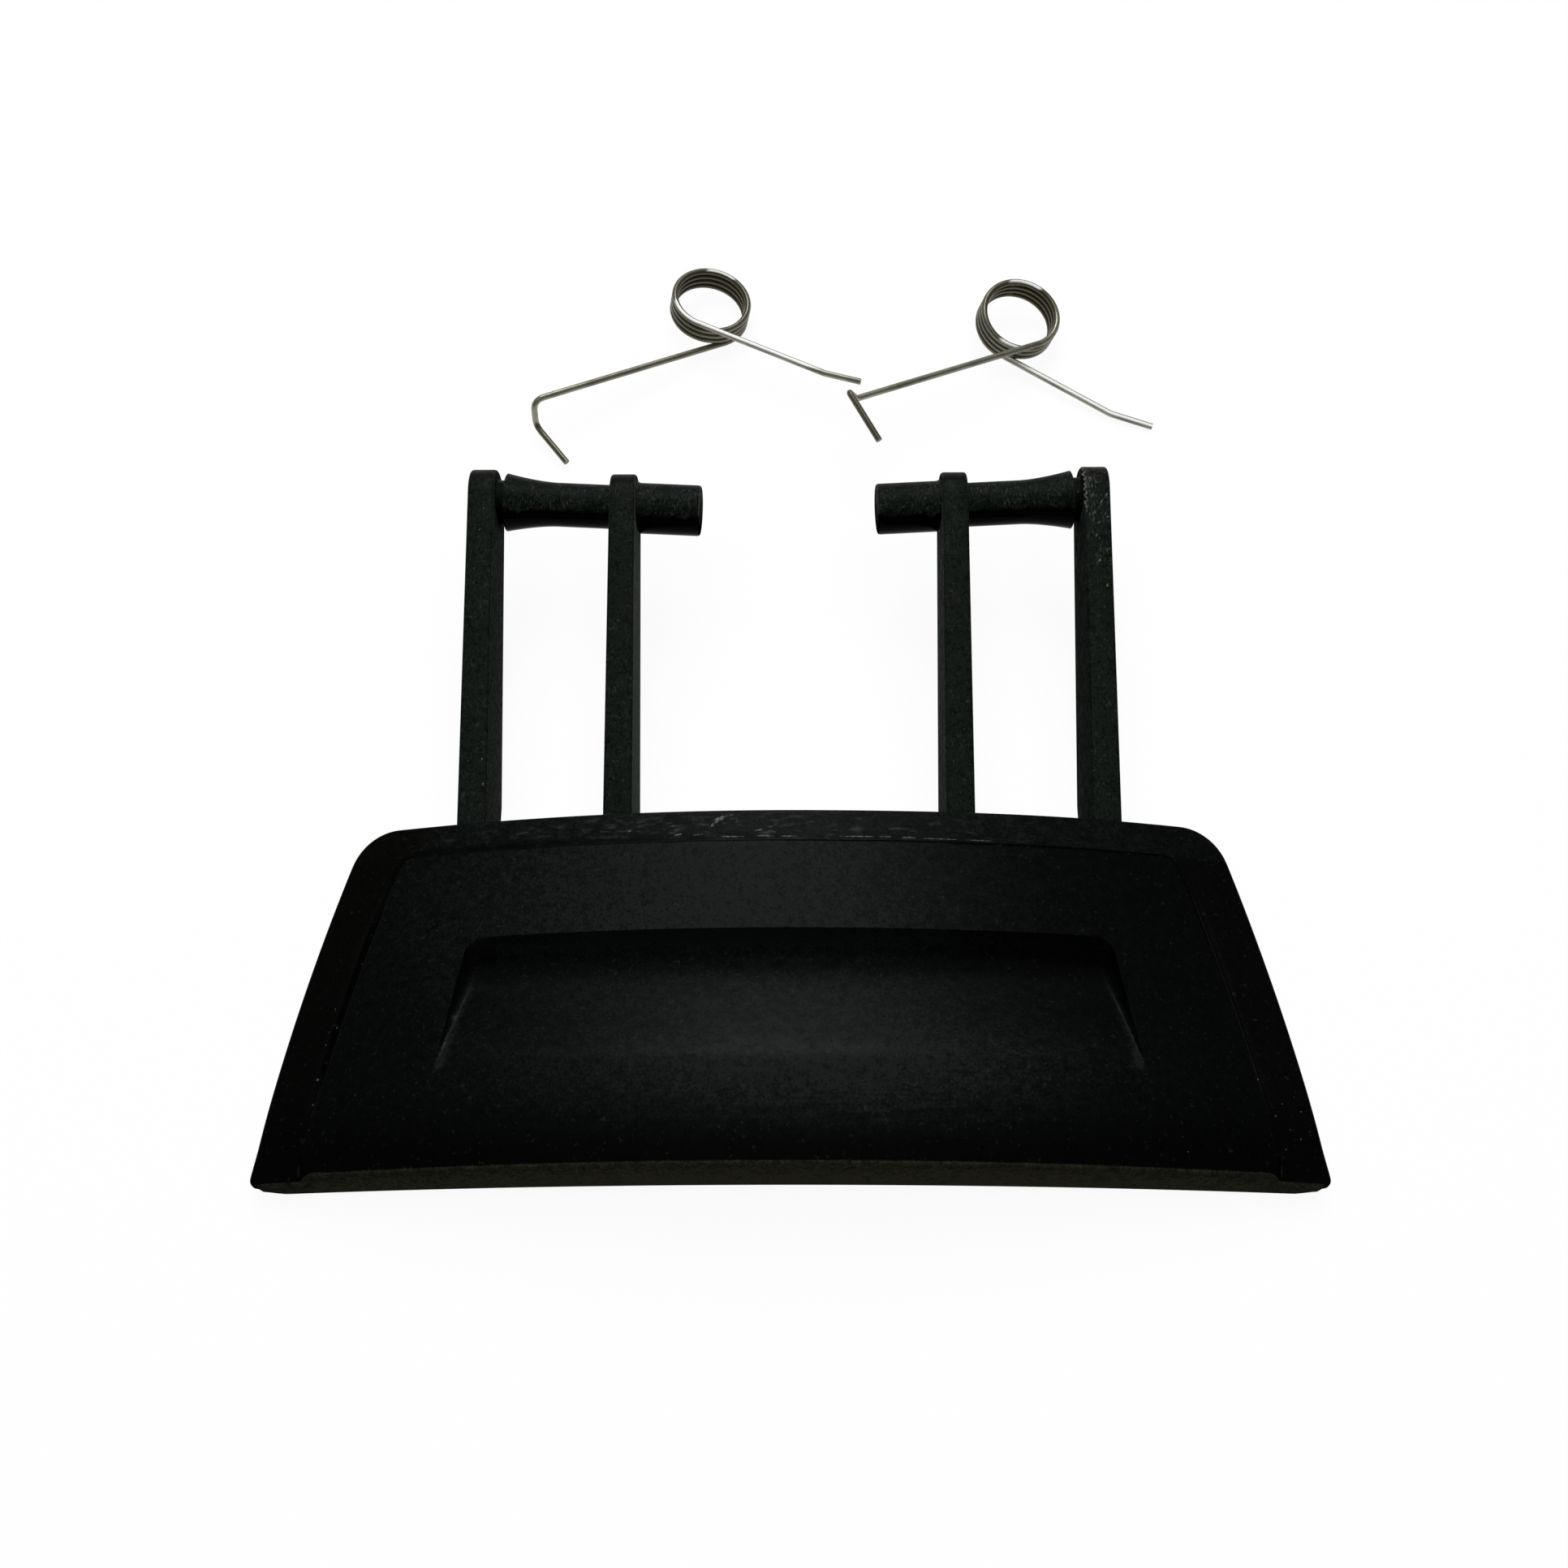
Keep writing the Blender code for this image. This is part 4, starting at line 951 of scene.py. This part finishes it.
# The streaks are painted highlights; the right spring's include three small glints on the coil's
# inner turns.
left_spring = wind_spring(
    "spring_left", hand=-1.0, place=(-0.0125, FRONT_Y + 0.1418, 0.0055),
    turn=118.5, lean_x=-0.2, lean_y=10.8, upside_down=True,
    leg_turn=0.0, hook_leg=0.0343, post_length=0.0048, post_lean=17.0, post_out=0.0,
    hook_turn=100.5, hook_length=0.0083, bend=0.0019,
    lift=-7.6, short_leg=0.0230, kink_turn=11.1, short_end=0.0059,
    streaks=[(1195.0, 1240.0), (1335.0, 1520.0)]
)
right_spring = wind_spring(
    "spring_right", hand=1.0, place=(0.03685, FRONT_Y + 0.13837, 0.00237),
    turn=-67.97, lean_x=7.62, lean_y=11.22, upside_down=False,
    leg_turn=3.4, hook_leg=0.03257, post_length=0.0050, post_lean=8.2, post_out=31.9,
    hook_turn=96.4, hook_length=0.0090, bend=0.0008,
    lift=9.8, short_leg=0.0214, kink_turn=13.6, short_end=0.0069,
    streaks=[
        (126.0, 176.0), (300.0, 335.0), (518.0, 527.0), (882.0, 891.0), (1240.0, 1249.0),
        (1395.0, 1600.0)
    ]
)
# Their steel: dull and grey with olive stains, darker and browner in the coil as painted
# shade, browner in the hook, and painted white along the highlights.
steel = bpy.data.materials.new("drawn_steel_wire")
steel.use_nodes = True
nodes = steel.node_tree.nodes
links = steel.node_tree.links
shader = nodes["Principled BSDF"]
place = nodes.new("ShaderNodeTexCoord")
stain = nodes.new("ShaderNodeTexNoise")
stain.inputs["Scale"].default_value = 260.0
stain.inputs["Detail"].default_value = 4.0
links.new(place.outputs["Object"], stain.inputs["Vector"])
stain_spread = nodes.new("ShaderNodeMapRange")
stain_spread.inputs["From Min"].default_value = 0.38
stain_spread.inputs["From Max"].default_value = 0.66
links.new(stain.outputs["Fac"], stain_spread.inputs["Value"])
# Painted shade in the coil, and the browner hook.
inner = nodes.new("ShaderNodeAttribute")
inner.attribute_name = "coil_shade_and_hook"
oiled = nodes.new("ShaderNodeMix")
oiled.data_type = "RGBA"
oiled.inputs[6].default_value = (0.340, 0.338, 0.270, 1.0)
oiled.inputs[7].default_value = (0.190, 0.186, 0.140, 1.0)
links.new(stain_spread.outputs["Result"], oiled.inputs["Factor"])
shaded = nodes.new("ShaderNodeMix")
shaded.data_type = "RGBA"
shaded.inputs[7].default_value = (0.092, 0.082, 0.050, 1.0)
links.new(inner.outputs["Fac"], shaded.inputs["Factor"])
links.new(oiled.outputs[2], shaded.inputs[6])
# The painted highlights are white and not metallic.
rubbed = nodes.new("ShaderNodeAttribute")
rubbed.attribute_name = "painted_highlight"
highlighted = nodes.new("ShaderNodeMix")
highlighted.data_type = "RGBA"
highlighted.inputs[7].default_value = (0.92, 0.92, 0.90, 1.0)
links.new(rubbed.outputs["Fac"], highlighted.inputs["Factor"])
links.new(shaded.outputs[2], highlighted.inputs[6])
links.new(highlighted.outputs[2], shader.inputs["Base Color"])
highlight_metallic = nodes.new("ShaderNodeMapRange")
highlight_metallic.inputs["To Min"].default_value = 0.70
highlight_metallic.inputs["To Max"].default_value = 0.0
links.new(rubbed.outputs["Fac"], highlight_metallic.inputs["Value"])
links.new(highlight_metallic.outputs["Result"], shader.inputs["Metallic"])
polish = nodes.new("ShaderNodeMapRange")
polish.inputs["To Min"].default_value = 0.24
polish.inputs["To Max"].default_value = 0.48
links.new(stain.outputs["Fac"], polish.inputs["Value"])
links.new(polish.outputs["Result"], shader.inputs["Roughness"])
scuffs = nodes.new("ShaderNodeTexNoise")
scuffs.inputs["Scale"].default_value = 3200.0
links.new(place.outputs["Object"], scuffs.inputs["Vector"])
drawn = nodes.new("ShaderNodeBump")
drawn.inputs["Strength"].default_value = 0.5
drawn.inputs["Distance"].default_value = 0.000008
links.new(scuffs.outputs["Fac"], drawn.inputs["Height"])
links.new(drawn.outputs["Normal"], shader.inputs["Normal"])
for spring, node in ((left_spring, "left_spring"), (right_spring, "right_spring")):
    spring.data.materials.append(steel)
    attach(spring, "root")
    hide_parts(node)


# The table: a plain white sheet that runs to white behind the set and still
# takes its soft shadow.
bpy.ops.mesh.primitive_plane_add(size=3.0, location=(0.0, 0.0, -0.0001))
table = bpy.context.object
table.name = "table"
paper = bpy.data.materials.new("white_table")
paper.use_nodes = True
nodes = paper.node_tree.nodes
links = paper.node_tree.links
nodes["Principled BSDF"].inputs["Base Color"].default_value = (0.95, 0.95, 0.95, 1.0)
nodes["Principled BSDF"].inputs["Roughness"].default_value = 0.9
nodes["Principled BSDF"].inputs["Specular IOR Level"].default_value = 0.1
glow = nodes.new("ShaderNodeEmission")
glow.inputs["Strength"].default_value = 1.0
path = nodes.new("ShaderNodeLightPath")
seen = nodes.new("ShaderNodeMath")
seen.operation = "MAXIMUM"
links.new(path.outputs["Is Camera Ray"], seen.inputs[0])
links.new(path.outputs["Is Glossy Ray"], seen.inputs[1])
share = nodes.new("ShaderNodeMath")
share.operation = "MULTIPLY"
share.inputs[1].default_value = 0.93
links.new(seen.outputs[0], share.inputs[0])
blend = nodes.new("ShaderNodeMixShader")
links.new(share.outputs[0], blend.inputs["Fac"])
links.new(nodes["Principled BSDF"].outputs["BSDF"], blend.inputs[1])
links.new(glow.outputs["Emission"], blend.inputs[2])
links.new(blend.outputs["Shader"], nodes["Material Output"].inputs["Surface"])
table.data.materials.append(paper)


# Soft studio light: one window behind the set, a broad soft lamp overhead that
# leaves no gloss, and a dim room.
for name, size, energy, height, back, across, glossy in (
    ("window", (0.30, 0.50), 3.6, 0.80, 0.62, -0.03, True),
    ("overhead", (1.20, 1.20), 13.0, 1.20, 0.15, 0.0, False),
):
    lamp = bpy.data.objects.new(name, bpy.data.lights.new(name, "AREA"))
    bpy.context.scene.collection.objects.link(lamp)
    lamp.data.shape = "RECTANGLE"
    lamp.data.size, lamp.data.size_y = size
    lamp.data.energy = energy
    lamp.location = (across, back, height)
    towards_set = Vector((0.0, 0.0, 0.0)) - Vector(lamp.location)
    lamp.rotation_euler = towards_set.to_track_quat("-Z", "Y").to_euler()
    lamp.visible_glossy = glossy

room = bpy.data.worlds.new("room")
bpy.context.scene.world = room
room.use_nodes = True
room.node_tree.nodes["Background"].inputs["Color"].default_value = (1.0, 1.0, 1.0, 1.0)
room.node_tree.nodes["Background"].inputs["Strength"].default_value = 0.06

bpy.context.scene.view_settings.view_transform = "Standard"
